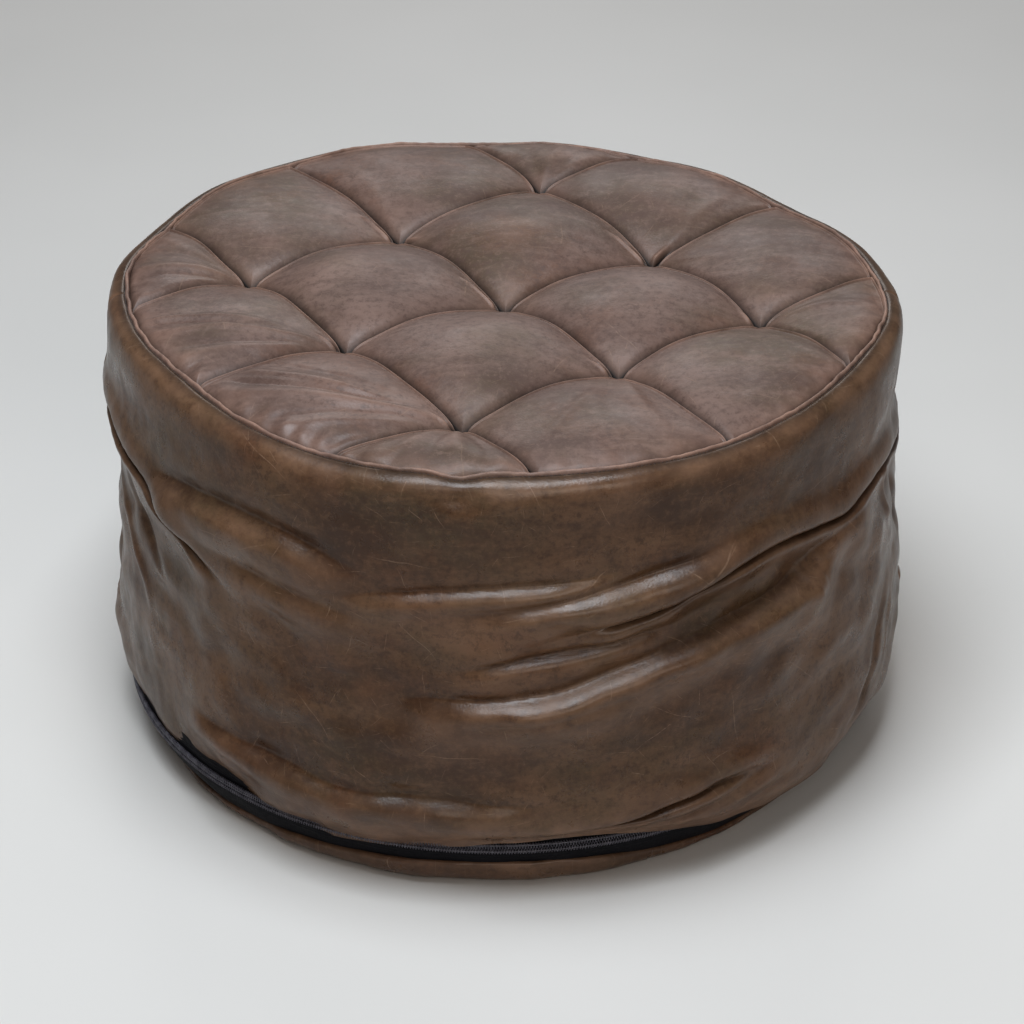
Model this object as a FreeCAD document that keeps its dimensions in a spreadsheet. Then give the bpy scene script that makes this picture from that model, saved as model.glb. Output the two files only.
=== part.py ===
"""Round tufted leather pouf: a sewn leather cover with a zipped base, a quilted top pad and a stuffed insert.

The frame has +Z up and its origin at the middle of the flat base, on the floor. -Y is the front, and the
zip's two ends and the base's hinge line are at the back, +Y. Angles run anticlockwise from +X, seen from
above. Lengths are in millimetres and angles in degrees.
"""

import FreeCAD
import Part
import Sketcher
import math
import os
import re

SIZES = {
    # Leather cover
    "leather": 1.8,             # thickness of the hide
    "rim_radius": 275,          # seam between the tufted top and the side band
    "rim_height": 335,
    "crown_rise": 12,           # rise of the domed top over its rim seam
    "rim_gap": 1.6,             # half the width of the slot that holds the rolled rim seam
    "rim_drop": 1,              # the side band's top edge lies this far under the rim seam
    "shoulder_radius": 302,     # widest ring of the firm upper pad
    "shoulder_height": 290,
    "crease_radius": 291,       # fold under the upper pad
    "crease_height": 222,
    "belly_radius": 299,        # widest ring of the soft lower part
    "belly_height": 130,
    "hem_radius": 288,          # lower edge of the side band, over the zip
    "hem_height": 47,
    "base_flat_radius": 264,    # what stands on the floor
    "base_rim_radius": 286,     # upturned edge of the base panel
    "base_rim_height": 22,
    "stitch_radius": 0.45,      # sewing thread
    "stitch_inset": 1.8,        # topstitching stands this far outside the rim seam
    "stitch_drop": 0.1,         # and this far below it
    "stitch_lift": 0.05,        # what a thread stands off the leather beside it
    "seam_stitch_stop": 2,      # the upright seams' thread stops this far above the hem
    "seat": 0.2,                # clearance round a piece that lies against another
    # Tufting grid
    "tuft_pitch": 137.5,        # side of one square of the top
    "tuft_turn": 35.4,          # the grid's turn from the frame's axes
    "twine_radius": 1.0,
    "twine_hole_radius": 1.6,
    "twine_tail": 4,            # twine below its washer, down to the knot
    "knot_radius": 2.6,
    "washer_radius": 14,
    "washer_thick": 3,
    # Quilted top pad
    "play": 0.5,                # gap between soft layers
    "batting_thick": 12,
    "batting_radius": 268,
    "pad_radius": 297,
    "pad_floor_height": 226,
    "pad_floor_radius": 286,
    "pad_bulge_drop": 8,        # its widest ring lies this far under the shoulder's
    "pad_top_spread": 2,        # its top is this much wider than the batting
    "backing_thick": 1.0,
    "backing_radius": 284,
    # Stuffed insert
    "cloth": 1.0,
    "insert_top_height": 213,
    "insert_top_radius": 270,
    "insert_shoulder_radius": 286,
    "insert_shoulder_height": 195,
    "insert_belly_radius": 293,
    "insert_foot_radius": 275,
    "insert_foot_height": 36,
    "insert_base_height": 4,
    "insert_base_radius": 248,
    # Zip
    "zip_height": 38,           # mid height of the closed zip, and of the base's hinge line
    "zip_radius": 283,          # inner face of the zip tapes
    "tape_thick": 1.0,
    "tape_width": 16,
    "lower_tape_width": 18,
    "zip_gap": 0.8,             # half the gap between the two coils, where the slider's post passes
    "coil_thick": 2.5,
    "coil_width": 3.2,
    "coil_stand": 0.3,          # the coil's stand-off from its tape
    "zip_gap_angle": 20,        # half the angle at the back that has no zip
    "stop_angle": 0.8,          # arc of one end stop
    "hinge_end_gap": 0.5,       # arc between the hinge strip and each end of the zip
    "hinge_low_gap": 0.3,       # between the strip and the base's edge
    "hinge_high_gap": 0.4,      # between the strip and the hem
    "slider_angle": 23.4,       # from the back, to the slider of the closed zip
    # Slider and pull
    "slider_length": 14,
    "slider_width": 10.8,
    "slider_outer_gap": 3.4,    # from the tape's face out to the outer plate
    "slider_inner_gap": 1.5,    # and in to the inner plate
    "slider_plate": 1.5,
    "slider_narrow": 0.8,       # the closed end's width as a share of the open end's
    "slider_corner": 0.3,       # a cut corner as a share of half the width
    "slider_margin": 0.8,       # from the open end to the post and the bridge
    "post_length": 3.4,
    "post_width": 1.0,
    "lip_length": 1.5,
    "lip_width": 1.0,           # edge turned in from the outer plate over the upper coil
    "lip_gap": 0.7,             # what it leaves for the upper tape
    "bridge_length": 10,        # staple over the outer plate that holds the pull
    "bridge_width": 2,
    "bridge_room": 2.3,         # clear height under it
    "bridge_thick": 1.2,
    "bridge_foot": 1.4,
    "pull_length": 26,
    "pull_width": 6.4,
    "pull_thick": 1.4,
    "pull_arm": 1.7,            # each side of its window
    "pull_window": 6.4,
    "pull_hole_radius": 1.6,
    "pull_hole_inset": 4,       # from the tab's free end to the hole's middle
    "pin_radius": 0.75,
    "pin_offset": 1.0,          # from the slider's middle towards its open end
    "pin_room": 0.45,           # between the tab and the outer plate
}

CUT_REACH = 20                  # how far a cutting tool runs past what it cuts
TINY = 1e-9


# --- Document, sheet and expressions ---------------------------------------------------------------------

doc = FreeCAD.newDocument("LeatherPouf")
sheet = doc.addObject("Spreadsheet::Sheet", "Sizes")
probe = doc.addObject("Part::Vertex", "Probe")


def fill_sheet():
    """Writes each driving size to its own aliased cell."""
    for row, (name, size) in enumerate(SIZES.items(), start=1):
        sheet.set(f"A{row}", name)
        sheet.set(f"B{row}", str(size))
        sheet.setAlias(f"B{row}", name)
    doc.recompute()


def bound(text):
    """An expression with each size's name written as a cell of the sheet."""
    return re.sub(r"[a-z]\w*", lambda m: f"Sizes.{m[0]}" if m[0] in SIZES else m[0], str(text))


def value(text):
    """What an expression comes to, read back from a point whose X it sets."""
    probe.setExpression("X", bound(text))
    probe.recompute()
    return probe.X.Value


def bind(thing, **properties):
    """Sets properties of an object by expressions, such as Length="leather * 2"."""
    for name, text in properties.items():
        thing.setExpression(name, bound(text))
    return thing


def place(thing, x="0", y="0", z="0"):
    """Binds an object's position to expressions."""
    thing.setExpression("Placement.Base.x", bound(x))
    thing.setExpression("Placement.Base.y", bound(y))
    thing.setExpression("Placement.Base.z", bound(z))
    return thing


def named(kind, label):
    thing = doc.addObject(kind, label)
    thing.Label = label
    return thing


# --- Sketches and bodies ---------------------------------------------------------------------------------

def new_body(label):
    body = doc.addObject("PartDesign::Body", label)
    body.Label = label
    return body


def new_sketch(body, name, role):
    """A sketch on one of the body's own origin planes."""
    sketch = body.newObject("Sketcher::SketchObject", name)
    plane = next(o for o in body.Origin.OriginFeatures if o.Role == role)
    sketch.AttachmentSupport = (plane, [""])
    sketch.MapMode = "FlatFace"
    return sketch


def fix_point(sketch, edge, end, corner, name):
    """Holds one end of an edge at a corner given by two expressions."""
    for kind, axis, text in (("DistanceX", "x", corner[0]), ("DistanceY", "y", corner[1])):
        number = value(text)
        if abs(number) < TINY:
            on_axis = -2 if axis == "x" else -1
            sketch.addConstraint(Sketcher.Constraint("PointOnObject", edge, end, on_axis))
            continue
        index = sketch.addConstraint(Sketcher.Constraint(kind, -1, 1, edge, end, number))
        sketch.renameConstraint(index, f"{name}_{axis}")
        sketch.setExpression(f"Constraints.{name}_{axis}", bound(text))


def arc_between(start, end, level_end):
    """The arc between two points that is upright at one of them.

    Its centre is level with the upright end, so that the curve has its widest or narrowest ring there.
    """
    upright, other = (start, end) if level_end == "start" else (end, start)
    across, up = other.x - upright.x, other.y - upright.y
    radius = (across * across + up * up) / (2 * across)
    centre = FreeCAD.Vector(upright.x + radius, upright.y, 0)
    first, last = (math.atan2(p.y - centre.y, p.x - centre.x) for p in (start, end))
    if math.sin(last - first) < 0:
        first, last = last, first
    circle = Part.Circle(centre, FreeCAD.Vector(0, 0, 1), abs(radius))
    return Part.ArcOfCircle(circle, first, last)


def outline(body, name, role, corners):
    """A closed outline on an origin plane.

    Each corner is (x, y, edge), with x and y as expressions. The edge runs on to the next corner: "line",
    "start" for an arc that is upright where it starts, or "end" for one that is upright where it ends.
    """
    sketch = new_sketch(body, name, role)
    points = [FreeCAD.Vector(value(x), value(y), 0) for x, y, _ in corners]
    for i, (_, _, edge) in enumerate(corners):
        start, end = points[i], points[(i + 1) % len(points)]
        shape = Part.LineSegment(start, end) if edge == "line" else arc_between(start, end, edge)
        sketch.addGeometry(shape, False)
    count = len(corners)
    starts, ends = [], []
    for i, geometry in enumerate(sketch.Geometry):
        flipped = (geometry.StartPoint - points[i]).Length > (geometry.EndPoint - points[i]).Length
        starts.append(2 if flipped else 1)
        ends.append(1 if flipped else 2)
    for i in range(count):
        j = (i + 1) % count
        sketch.addConstraint(Sketcher.Constraint("Coincident", i, ends[i], j, starts[j]))
        fix_point(sketch, i, starts[i], corners[i][:2], f"corner{i}")
    for i, (_, _, edge) in enumerate(corners):
        if edge != "line":
            at = starts[i] if edge == "start" else ends[i]
            sketch.addConstraint(Sketcher.Constraint("Horizontal", i, 3, i, at))
    return sketch


def revolve(body, sketch, angle="360"):
    """Turns an upright outline round +Z, starting from its own plane."""
    turn = body.newObject("PartDesign::Revolution", f"{body.Name}_turn")
    turn.Profile = sketch
    turn.ReferenceAxis = (sketch, ["V_Axis"])
    turn.Angle = value(angle)
    bind(turn, Angle=angle)
    doc.recompute()
    return turn


def turned_ring(label, corners, angle="360", start=0.0):
    """A body turned from an outline of (radius, height, edge) corners, beginning at the start angle."""
    body = new_body(label)
    revolve(body, outline(body, f"{label}_outline", "XZ_Plane", corners), angle)
    body.Placement = FreeCAD.Placement(FreeCAD.Vector(), FreeCAD.Rotation(FreeCAD.Vector(0, 0, 1), start))
    return body


def box_ring(label, inner, outer, low, high, angle="360", start=0.0):
    """A turned ring whose section is a plain rectangle."""
    corners = [(inner, low, "line"), (outer, low, "line"), (outer, high, "line"), (inner, high, "line")]
    return turned_ring(label, corners, angle, start)


def group(label, members):
    """Several separate solids that share one node."""
    joined = named("Part::Compound", label)
    joined.Links = members
    return joined


# --- The tufting grid ------------------------------------------------------------------------------------

TUFT_STEPS = [(i, j) for j in (-1, 0, 1) for i in (-1, 0, 1)]


def grid_place(i, j):
    """Where grid crossing (i, j) is, as two expressions."""
    return (
        f"tuft_pitch * ({i} * cos(tuft_turn) - ({j}) * sin(tuft_turn))",
        f"tuft_pitch * ({i} * sin(tuft_turn) + ({j}) * cos(tuft_turn))",
    )


def round_rods(label, radius, low, high):
    """One upright rod at each tuft."""
    rods = []
    for n, (i, j) in enumerate(TUFT_STEPS, start=1):
        rod = named("Part::Cylinder", f"{label}_{n}")
        bind(rod, Radius=radius, Height=f"{high} - ({low})")
        place(rod, *grid_place(i, j), low)
        rods.append(rod)
    return rods


def dome_radius(rise, span):
    """Radius of the sphere whose cap rises by one expression over a circle of another."""
    return f"(({rise}) ^ 2 + ({span}) ^ 2) / (2 * ({rise}))"


# --- Leather top -----------------------------------------------------------------------------------------

CROWN_TOP = "(rim_height + crown_rise)"
CROWN_SPHERE = dome_radius("crown_rise", "rim_radius")


def dome_slab(label, top_drop, bottom_drop, radius):
    """A disc between two domes that follow the crown, the given drops below it, cut to a round edge."""
    parts = []
    for name, drop in (("upper", top_drop), ("lower", bottom_drop)):
        ball = named("Part::Sphere", f"{label}_{name}_dome")
        bind(ball, Radius=f"{CROWN_SPHERE} - ({drop})")
        place(ball, z=f"{CROWN_TOP} - {CROWN_SPHERE}")
        parts.append(ball)
    disc = named("Part::Cylinder", f"{label}_edge")
    bind(disc, Radius=radius, Height=f"{CROWN_TOP} - pad_floor_height")
    place(disc, z="pad_floor_height")
    cap = named("Part::Common", f"{label}_cap")
    cap.Base, cap.Tool = disc, parts[0]
    slab = named("Part::Cut", f"{label}_slab")
    slab.Base, slab.Tool = cap, parts[1]
    return slab


def pierced(label, solid, radius):
    """A solid with the nine twine holes cut through it."""
    low, high = f"pad_floor_height - {CUT_REACH}", f"{CROWN_TOP} + {CUT_REACH}"
    holes = group(f"{label}_holes", round_rods(f"{label}_hole", radius, low, high))
    cut = named("Part::Cut", label)
    cut.Base, cut.Tool = solid, holes
    return cut


def top_panels():
    """The sixteen leather panels between the three seams that run each way."""
    crown = pierced("top_crown", dome_slab("top_crown", "0", "leather", "rim_radius - rim_gap"),
                    "twine_hole_radius")
    reach = f"(rim_radius + {CUT_REACH})"
    cell_height = f"2 * {CUT_REACH} + crown_rise"
    bands = [(f"-{reach}", "-tuft_pitch"), ("-tuft_pitch", "0"), ("0", "tuft_pitch"), ("tuft_pitch", reach)]
    counts = {"center": 0, "edge": 0, "corner": 0}
    panels = []
    for j, (low_v, high_v) in enumerate(bands):
        for i, (low_u, high_u) in enumerate(bands):
            outer = (i in (0, 3)) + (j in (0, 3))
            kind = ("center", "edge", "corner")[outer]
            counts[kind] += 1
            label = f"top_panel_{kind}_{counts[kind]}"
            cell = named("Part::Box", f"{label}_cell")
            bind(cell, Length=f"{high_u} - ({low_u})", Width=f"{high_v} - ({low_v})", Height=cell_height)
            place(
                cell,
                f"({low_u}) * cos(tuft_turn) - ({low_v}) * sin(tuft_turn)",
                f"({low_u}) * sin(tuft_turn) + ({low_v}) * cos(tuft_turn)",
                f"rim_height - {CUT_REACH}",
            )
            cell.Placement.Rotation = FreeCAD.Rotation(FreeCAD.Vector(0, 0, 1), sheet.tuft_turn)
            panel = named("Part::Common", label)
            panel.Base, panel.Tool = crown, cell
            panels.append(panel)
    return panels


def rim_welt():
    """The rolled seam that joins the top panels to the side band."""
    welt = named("Part::Torus", "rim_welt")
    bind(welt, Radius1="rim_radius", Radius2="rim_gap - seat")
    place(welt, z="rim_height - seat")
    return welt


def rim_stitching():
    """Topstitching thread on the side band, close outside the rim seam."""
    thread = named("Part::Torus", "rim_stitching")
    bind(thread, Radius1="rim_radius + rim_gap + stitch_inset", Radius2="stitch_radius")
    place(thread, z="rim_height - stitch_drop")
    return thread


# --- Leather side and base -------------------------------------------------------------------------------

def side_corners():
    """The band's section: a firm shoulder, the fold under it, a soft belly and the hem over the zip."""
    return [
        ("rim_radius + rim_gap", "rim_height - rim_drop", "end"),
        ("shoulder_radius", "shoulder_height", "start"),
        ("crease_radius", "crease_height", "end"),
        ("belly_radius", "belly_height", "start"),
        ("hem_radius", "hem_height", "line"),
        ("hem_radius - leather", "hem_height", "end"),
        ("belly_radius - leather", "belly_height", "start"),
        ("crease_radius - leather", "crease_height", "end"),
        ("shoulder_radius - leather", "shoulder_height", "start"),
        ("rim_radius + rim_gap", "rim_height - rim_drop - leather", "line"),
    ]


def side_panels():
    """Two half bands that meet at upright seams at the left and right."""
    return [
        turned_ring("side_panel_back", side_corners(), "180", 0.0),
        turned_ring("side_panel_front", side_corners(), "180", 180.0),
    ]


def side_seam_stitching():
    """The thread of the two upright seams, on the inside of the belly from its widest ring to the hem."""
    inner_belly = "(belly_radius - leather)"
    fall = "(belly_height - hem_height - seam_stitch_stop)"
    step_in = "(belly_radius - hem_radius)"
    bend = f"({step_in} ^ 2 + (belly_height - hem_height) ^ 2) / (2 * {step_in})"
    threads = []
    for name, turn in (("right", 0), ("left", 180)):
        thread = named("Part::Torus", f"side_seam_thread_{name}")
        bind(thread, Radius1=f"{bend} - stitch_radius - stitch_lift", Radius2="stitch_radius",
             Angle3=f"asin({fall} / ({bend}))")
        around = FreeCAD.Rotation(FreeCAD.Vector(0, 0, 1), turn)
        upright = FreeCAD.Rotation(FreeCAD.Vector(1, 0, 0), 90)
        lowered = FreeCAD.Rotation(FreeCAD.Vector(0, 0, 1), -value(f"asin({fall} / ({bend}))"))
        centre = around.multVec(FreeCAD.Vector(value(f"{inner_belly} - {bend}"), 0, sheet.belly_height))
        thread.Placement = FreeCAD.Placement(centre, around.multiply(upright).multiply(lowered))
        threads.append(thread)
    return group("side_seam_stitching", threads)


def base_panel():
    """The round leather base, whose edge turns up to the lower zip tape."""
    corners = [
        ("0", "0", "line"),
        ("base_flat_radius", "0", "end"),
        ("base_rim_radius", "base_rim_height", "line"),
        ("base_rim_radius - leather", "base_rim_height", "start"),
        ("base_flat_radius - seat", "leather", "line"),
        ("0", "leather", "line"),
    ]
    return turned_ring("base_panel", corners)


# --- Zip -------------------------------------------------------------------------------------------------

ZIP_ANGLE = "360 - 2 * zip_gap_angle"
TAPE_FACE = "(zip_radius + tape_thick)"


def zip_start():
    """The angle from +X where the zip begins, just past the back."""
    return 90 + sheet.zip_gap_angle


def zip_tapes():
    lower = ("zip_height - zip_gap - lower_tape_width", "zip_height - zip_gap")
    upper = ("zip_height + zip_gap", "zip_height + zip_gap + tape_width")
    return [
        box_ring("zip_tape_lower", "zip_radius", TAPE_FACE, *lower, ZIP_ANGLE, zip_start()),
        box_ring("zip_tape_upper", "zip_radius", TAPE_FACE, *upper, ZIP_ANGLE, zip_start()),
    ]


def coil_corners(side):
    """Section of one coil on its tape's free edge: side is "-" for the lower coil and "+" for the upper."""
    near, far = f"zip_height {side} zip_gap", f"zip_height {side} (zip_gap + coil_width)"
    inner, outer = f"{TAPE_FACE} + coil_stand", f"{TAPE_FACE} + coil_stand + coil_thick"
    corners = [(inner, near, "line"), (outer, near, "line"), (outer, far, "line"), (inner, far, "line")]
    return corners if side == "+" else corners[::-1]


def zip_coils():
    angle = f"{ZIP_ANGLE} - 4 * stop_angle"
    start = zip_start() + 2 * sheet.stop_angle
    return [
        turned_ring("zip_coil_lower", coil_corners("-"), angle, start),
        turned_ring("zip_coil_upper", coil_corners("+"), angle, start),
    ]


def zip_stops():
    """An end stop clamped on each end of each coil."""
    stops = []
    for name, side in (("lower", "-"), ("upper", "+")):
        first = zip_start() + sheet.stop_angle
        last = zip_start() + value(ZIP_ANGLE) - 2 * sheet.stop_angle
        ends = [
            turned_ring(f"zip_stop_{name}_{n}", coil_corners(side), "stop_angle", start)
            for n, start in enumerate((first, last), start=1)
        ]
        stops.append(group(f"zip_stops_{name}", ends))
    return stops


def hinge_strip():
    """Leather strip that closes the back between the zip's ends; the base swings on a line across it."""
    return box_ring(
        "hinge_strip", TAPE_FACE, f"{TAPE_FACE} + leather",
        "base_rim_height + hinge_low_gap", "hem_height - hinge_high_gap",
        "2 * zip_gap_angle - 2 * hinge_end_gap", 90 - sheet.zip_gap_angle + sheet.hinge_end_gap,
    )


# The slider and pull are drawn flat: X along the zip towards its closed part, Y up, and Z outward from
# the tape's face.

def block(low, high):
    """A box between two corners, each (x, y, z)."""
    size = [b - a for a, b in zip(low, high)]
    return Part.makeBox(*size, FreeCAD.Vector(*low))


def zip_frame():
    """The placement of the closed slider: its X runs along the zip, Y up and Z outward."""
    upright = FreeCAD.Rotation(FreeCAD.Vector(1, 1, 1), 120)
    turn = FreeCAD.Rotation(FreeCAD.Vector(0, 0, 1), 90 + sheet.slider_angle)
    spot = turn.multVec(FreeCAD.Vector(value(TAPE_FACE), 0, sheet.zip_height))
    return FreeCAD.Placement(spot, turn.multiply(upright))


def solid_feature(label, shape):
    """A document object that holds a shape made in code, set on the zip at the slider's place."""
    feature = named("Part::Feature", label)
    feature.Shape = shape
    feature.Placement = zip_frame()
    return feature


def slider_plate(low):
    """One plate of the slider: wide where the coils part, narrower at its closed end, with cut corners."""
    half_length, half_width = sheet.slider_length / 2, sheet.slider_width / 2
    narrow, corner = half_width * sheet.slider_narrow, half_width * sheet.slider_corner
    upper = [
        (-half_length, half_width - corner),
        (-half_length + corner, half_width),
        (-corner, half_width),
        (half_length - corner, narrow),
        (half_length, narrow - corner),
    ]
    lower = [(x, -y) for x, y in reversed(upper)]
    points = [FreeCAD.Vector(x, y, low) for x, y in upper + lower]
    face = Part.Face(Part.makePolygon(points + points[:1]))
    return face.extrude(FreeCAD.Vector(0, 0, sheet.slider_plate))


def zip_slider():
    """Two plates joined by the post that parts the coils, a lip over the upper coil and the pull's bridge."""
    outer_low, inner_high = sheet.slider_outer_gap, -sheet.slider_inner_gap
    outer_high = outer_low + sheet.slider_plate
    half_length, half_width = sheet.slider_length / 2, sheet.slider_width / 2
    half_post, half_bridge = sheet.post_width / 2, sheet.bridge_width / 2
    post_start = -half_length + sheet.slider_margin
    post = block((post_start, -half_post, inner_high), (post_start + sheet.post_length, half_post, outer_low))
    lip = block((-sheet.lip_length, half_width - sheet.lip_width, sheet.lip_gap), (0, half_width, outer_low))
    bridge_start, bridge_end = post_start, post_start + sheet.bridge_length
    under = outer_high + sheet.bridge_room
    top = under + sheet.bridge_thick
    feet = [(bridge_start, bridge_start + sheet.bridge_foot), (bridge_end - sheet.bridge_foot, bridge_end)]
    legs = [block((low, -half_bridge, outer_high), (high, half_bridge, top)) for low, high in feet]
    span = block((bridge_start, -half_bridge, under), (bridge_end, half_bridge, top))
    plates = [slider_plate(outer_low), slider_plate(inner_high - sheet.slider_plate)]
    solid = plates[0].fuse([plates[1], post, lip, span, *legs]).removeSplitter()
    return solid_feature("zip_slider", solid)


def pull_pin():
    """The middle of the pull's crossbar: its X and Z in the slider's own axes."""
    outer_face = sheet.slider_outer_gap + sheet.slider_plate
    return -sheet.pin_offset, outer_face + sheet.pin_room + sheet.pull_thick / 2


def zip_pull():
    """A flat tab with a window: its crossbar lies under the slider's bridge, and the tab along the zip."""
    x, z = pull_pin()
    low, high, half = z - sheet.pull_thick / 2, z + sheet.pull_thick / 2, sheet.pull_width / 2
    gap = half - sheet.pull_arm
    tab = block((x - sheet.pull_length, -half, low), (x, half, high))
    window = block((x - sheet.pull_window, -gap, low - CUT_REACH), (x + CUT_REACH, gap, high + CUT_REACH))
    across = FreeCAD.Vector(0, 1, 0)
    crossbar = Part.makeCylinder(sheet.pin_radius, 2 * half, FreeCAD.Vector(x, -half, z), across)
    hole_place = FreeCAD.Vector(x - sheet.pull_length + sheet.pull_hole_inset, 0, low - CUT_REACH)
    grip_hole = Part.makeCylinder(sheet.pull_hole_radius, sheet.pull_thick + 2 * CUT_REACH, hole_place)
    tab = tab.cut(window).fuse(crossbar).cut(grip_hole).removeSplitter()
    return solid_feature("zip_pull", tab)


# --- Quilted top pad -------------------------------------------------------------------------------------

def top_batting():
    """Soft wadding under the leather, so that the squares billow between the tufts."""
    slab = dome_slab("batting", "leather + play", "leather + play + batting_thick", "batting_radius")
    return pierced("top_batting", slab, "twine_hole_radius")


def top_foam_pad():
    """The firm foam disc that keeps the top flat and makes the shoulder stand out."""
    under = "rim_height - leather - 2 * play - batting_thick"
    body = turned_ring("foam_blank", [
        ("0", "pad_floor_height", "line"),
        ("pad_floor_radius", "pad_floor_height", "end"),
        ("pad_radius", "shoulder_height - pad_bulge_drop", "start"),
        ("batting_radius + pad_top_spread", under, "line"),
        ("0", under, "line"),
    ])
    return pierced("top_foam_pad", body, "twine_hole_radius")


def backing_cloth():
    disc = named("Part::Cylinder", "backing_disc")
    bind(disc, Radius="backing_radius", Height="backing_thick")
    place(disc, z="pad_floor_height - play - backing_thick")
    return pierced("backing_cloth", disc, "twine_hole_radius")


def washer_low():
    return "(pad_floor_height - 2 * play - backing_thick - washer_thick)"


def tuft_washers():
    """The fibre washer under the backing cloth that spreads each twine's pull."""
    washers = []
    for n, (i, j) in enumerate(TUFT_STEPS, start=1):
        parts = []
        for name, radius in (("rim", "washer_radius"), ("eye", "twine_hole_radius")):
            disc = named("Part::Cylinder", f"washer_{name}_{n}")
            bind(disc, Radius=radius, Height="washer_thick")
            parts.append(place(disc, *grid_place(i, j), washer_low()))
        washer = named("Part::Cut", f"tuft_washer_{n}")
        washer.Base, washer.Tool = parts
        washers.append(washer)
    return group("tuft_washers", washers)


def tuft_twines():
    """Nine waxed twines, each from the leather down through pad and washer to a knot."""
    low = f"({washer_low()} - twine_tail)"
    twines = []
    for n, (i, j) in enumerate(TUFT_STEPS, start=1):
        out = f"(tuft_pitch ^ 2 * {i * i + j * j})"
        drop = f"({CROWN_SPHERE} - sqrt(({CROWN_SPHERE}) ^ 2 - {out}))"
        run = named("Part::Cylinder", f"twine_run_{n}")
        bind(run, Radius="twine_radius", Height=f"{CROWN_TOP} - {drop} - {low}")
        place(run, *grid_place(i, j), low)
        knot = named("Part::Sphere", f"twine_knot_{n}")
        bind(knot, Radius="knot_radius")
        place(knot, *grid_place(i, j), f"{washer_low()} - play - knot_radius")
        twine = named("Part::Fuse", f"tuft_twine_{n}")
        twine.Base, twine.Tool = run, knot
        twines.append(twine)
    return group("tuft_twines", twines)


# --- Stuffed insert --------------------------------------------------------------------------------------

def insert_side_corners(shrink):
    """The insert's side from its top seam to its base seam, shrunk inward by an expression."""
    return [
        (f"insert_top_radius - ({shrink})", "insert_top_height", "end"),
        (f"insert_shoulder_radius - ({shrink})", "insert_shoulder_height", "line"),
        (f"insert_belly_radius - ({shrink})", "belly_height", "start"),
        (f"insert_foot_radius - ({shrink})", "insert_foot_height", "start"),
        (f"insert_base_radius - ({shrink})", "insert_base_height", "line"),
    ]


def insert_side_cloth():
    outer = insert_side_corners("0")
    inner = [
        ("insert_base_radius - cloth", "insert_base_height", "end"),
        ("insert_foot_radius - cloth", "insert_foot_height", "end"),
        ("insert_belly_radius - cloth", "belly_height", "line"),
        ("insert_shoulder_radius - cloth", "insert_shoulder_height", "start"),
        ("insert_top_radius - cloth", "insert_top_height", "line"),
    ]
    return turned_ring("insert_side_cloth", outer + inner)


def insert_top_cloth():
    return box_ring("insert_top_cloth", "0", "insert_top_radius - cloth - seat",
                    "insert_top_height - cloth", "insert_top_height")


def insert_base_cloth():
    return box_ring("insert_base_cloth", "0", "insert_base_radius - cloth - seat",
                    "insert_base_height", "insert_base_height + cloth")


def insert_fill():
    """The stuffing: one mass of polyester fibre inside the insert's cloth."""
    corners = insert_side_corners("cloth + play")
    corners[0] = ("insert_top_radius - cloth - play", "insert_top_height - cloth - play", "end")
    last = ("insert_base_radius - cloth - play", "insert_base_height + cloth + play", "line")
    axis = [("0", last[1], "line"), ("0", corners[0][1], "line")]
    return turned_ring("insert_fill", corners[:-1] + [last] + axis)


# --- Build, check and write ------------------------------------------------------------------------------

def build():
    fill_sheet()
    pieces = [*top_panels(), rim_welt(), rim_stitching(), *side_panels(), side_seam_stitching(), base_panel()]
    pieces += [*zip_tapes(), *zip_coils(), *zip_stops(), hinge_strip(), zip_slider(), zip_pull()]
    pieces += [top_batting(), top_foam_pad(), backing_cloth(), tuft_washers(), tuft_twines()]
    pieces += [insert_top_cloth(), insert_side_cloth(), insert_base_cloth(), insert_fill()]
    doc.removeObject(probe.Name)
    doc.recompute()
    return pieces


def check(pieces):
    """Stops the build if any object failed or any piece isn't a valid closed solid."""
    failed = [o.Label for o in doc.Objects if "Invalid" in o.State or "Error" in o.State]
    if failed:
        raise RuntimeError(f"these objects failed: {failed}")
    for piece in pieces:
        shape = piece.Shape
        if shape.isNull() or not shape.isValid() or not shape.Solids:
            raise RuntimeError(f"{piece.Label} is not a valid solid")


def write(pieces):
    os.makedirs("parts", exist_ok=True)
    for piece in pieces:
        piece.Shape.exportStep(os.path.join("parts", f"{piece.Label}.step"))


made = build()
check(made)
write(made)
print(f"{len(made)} nodes written")
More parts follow.
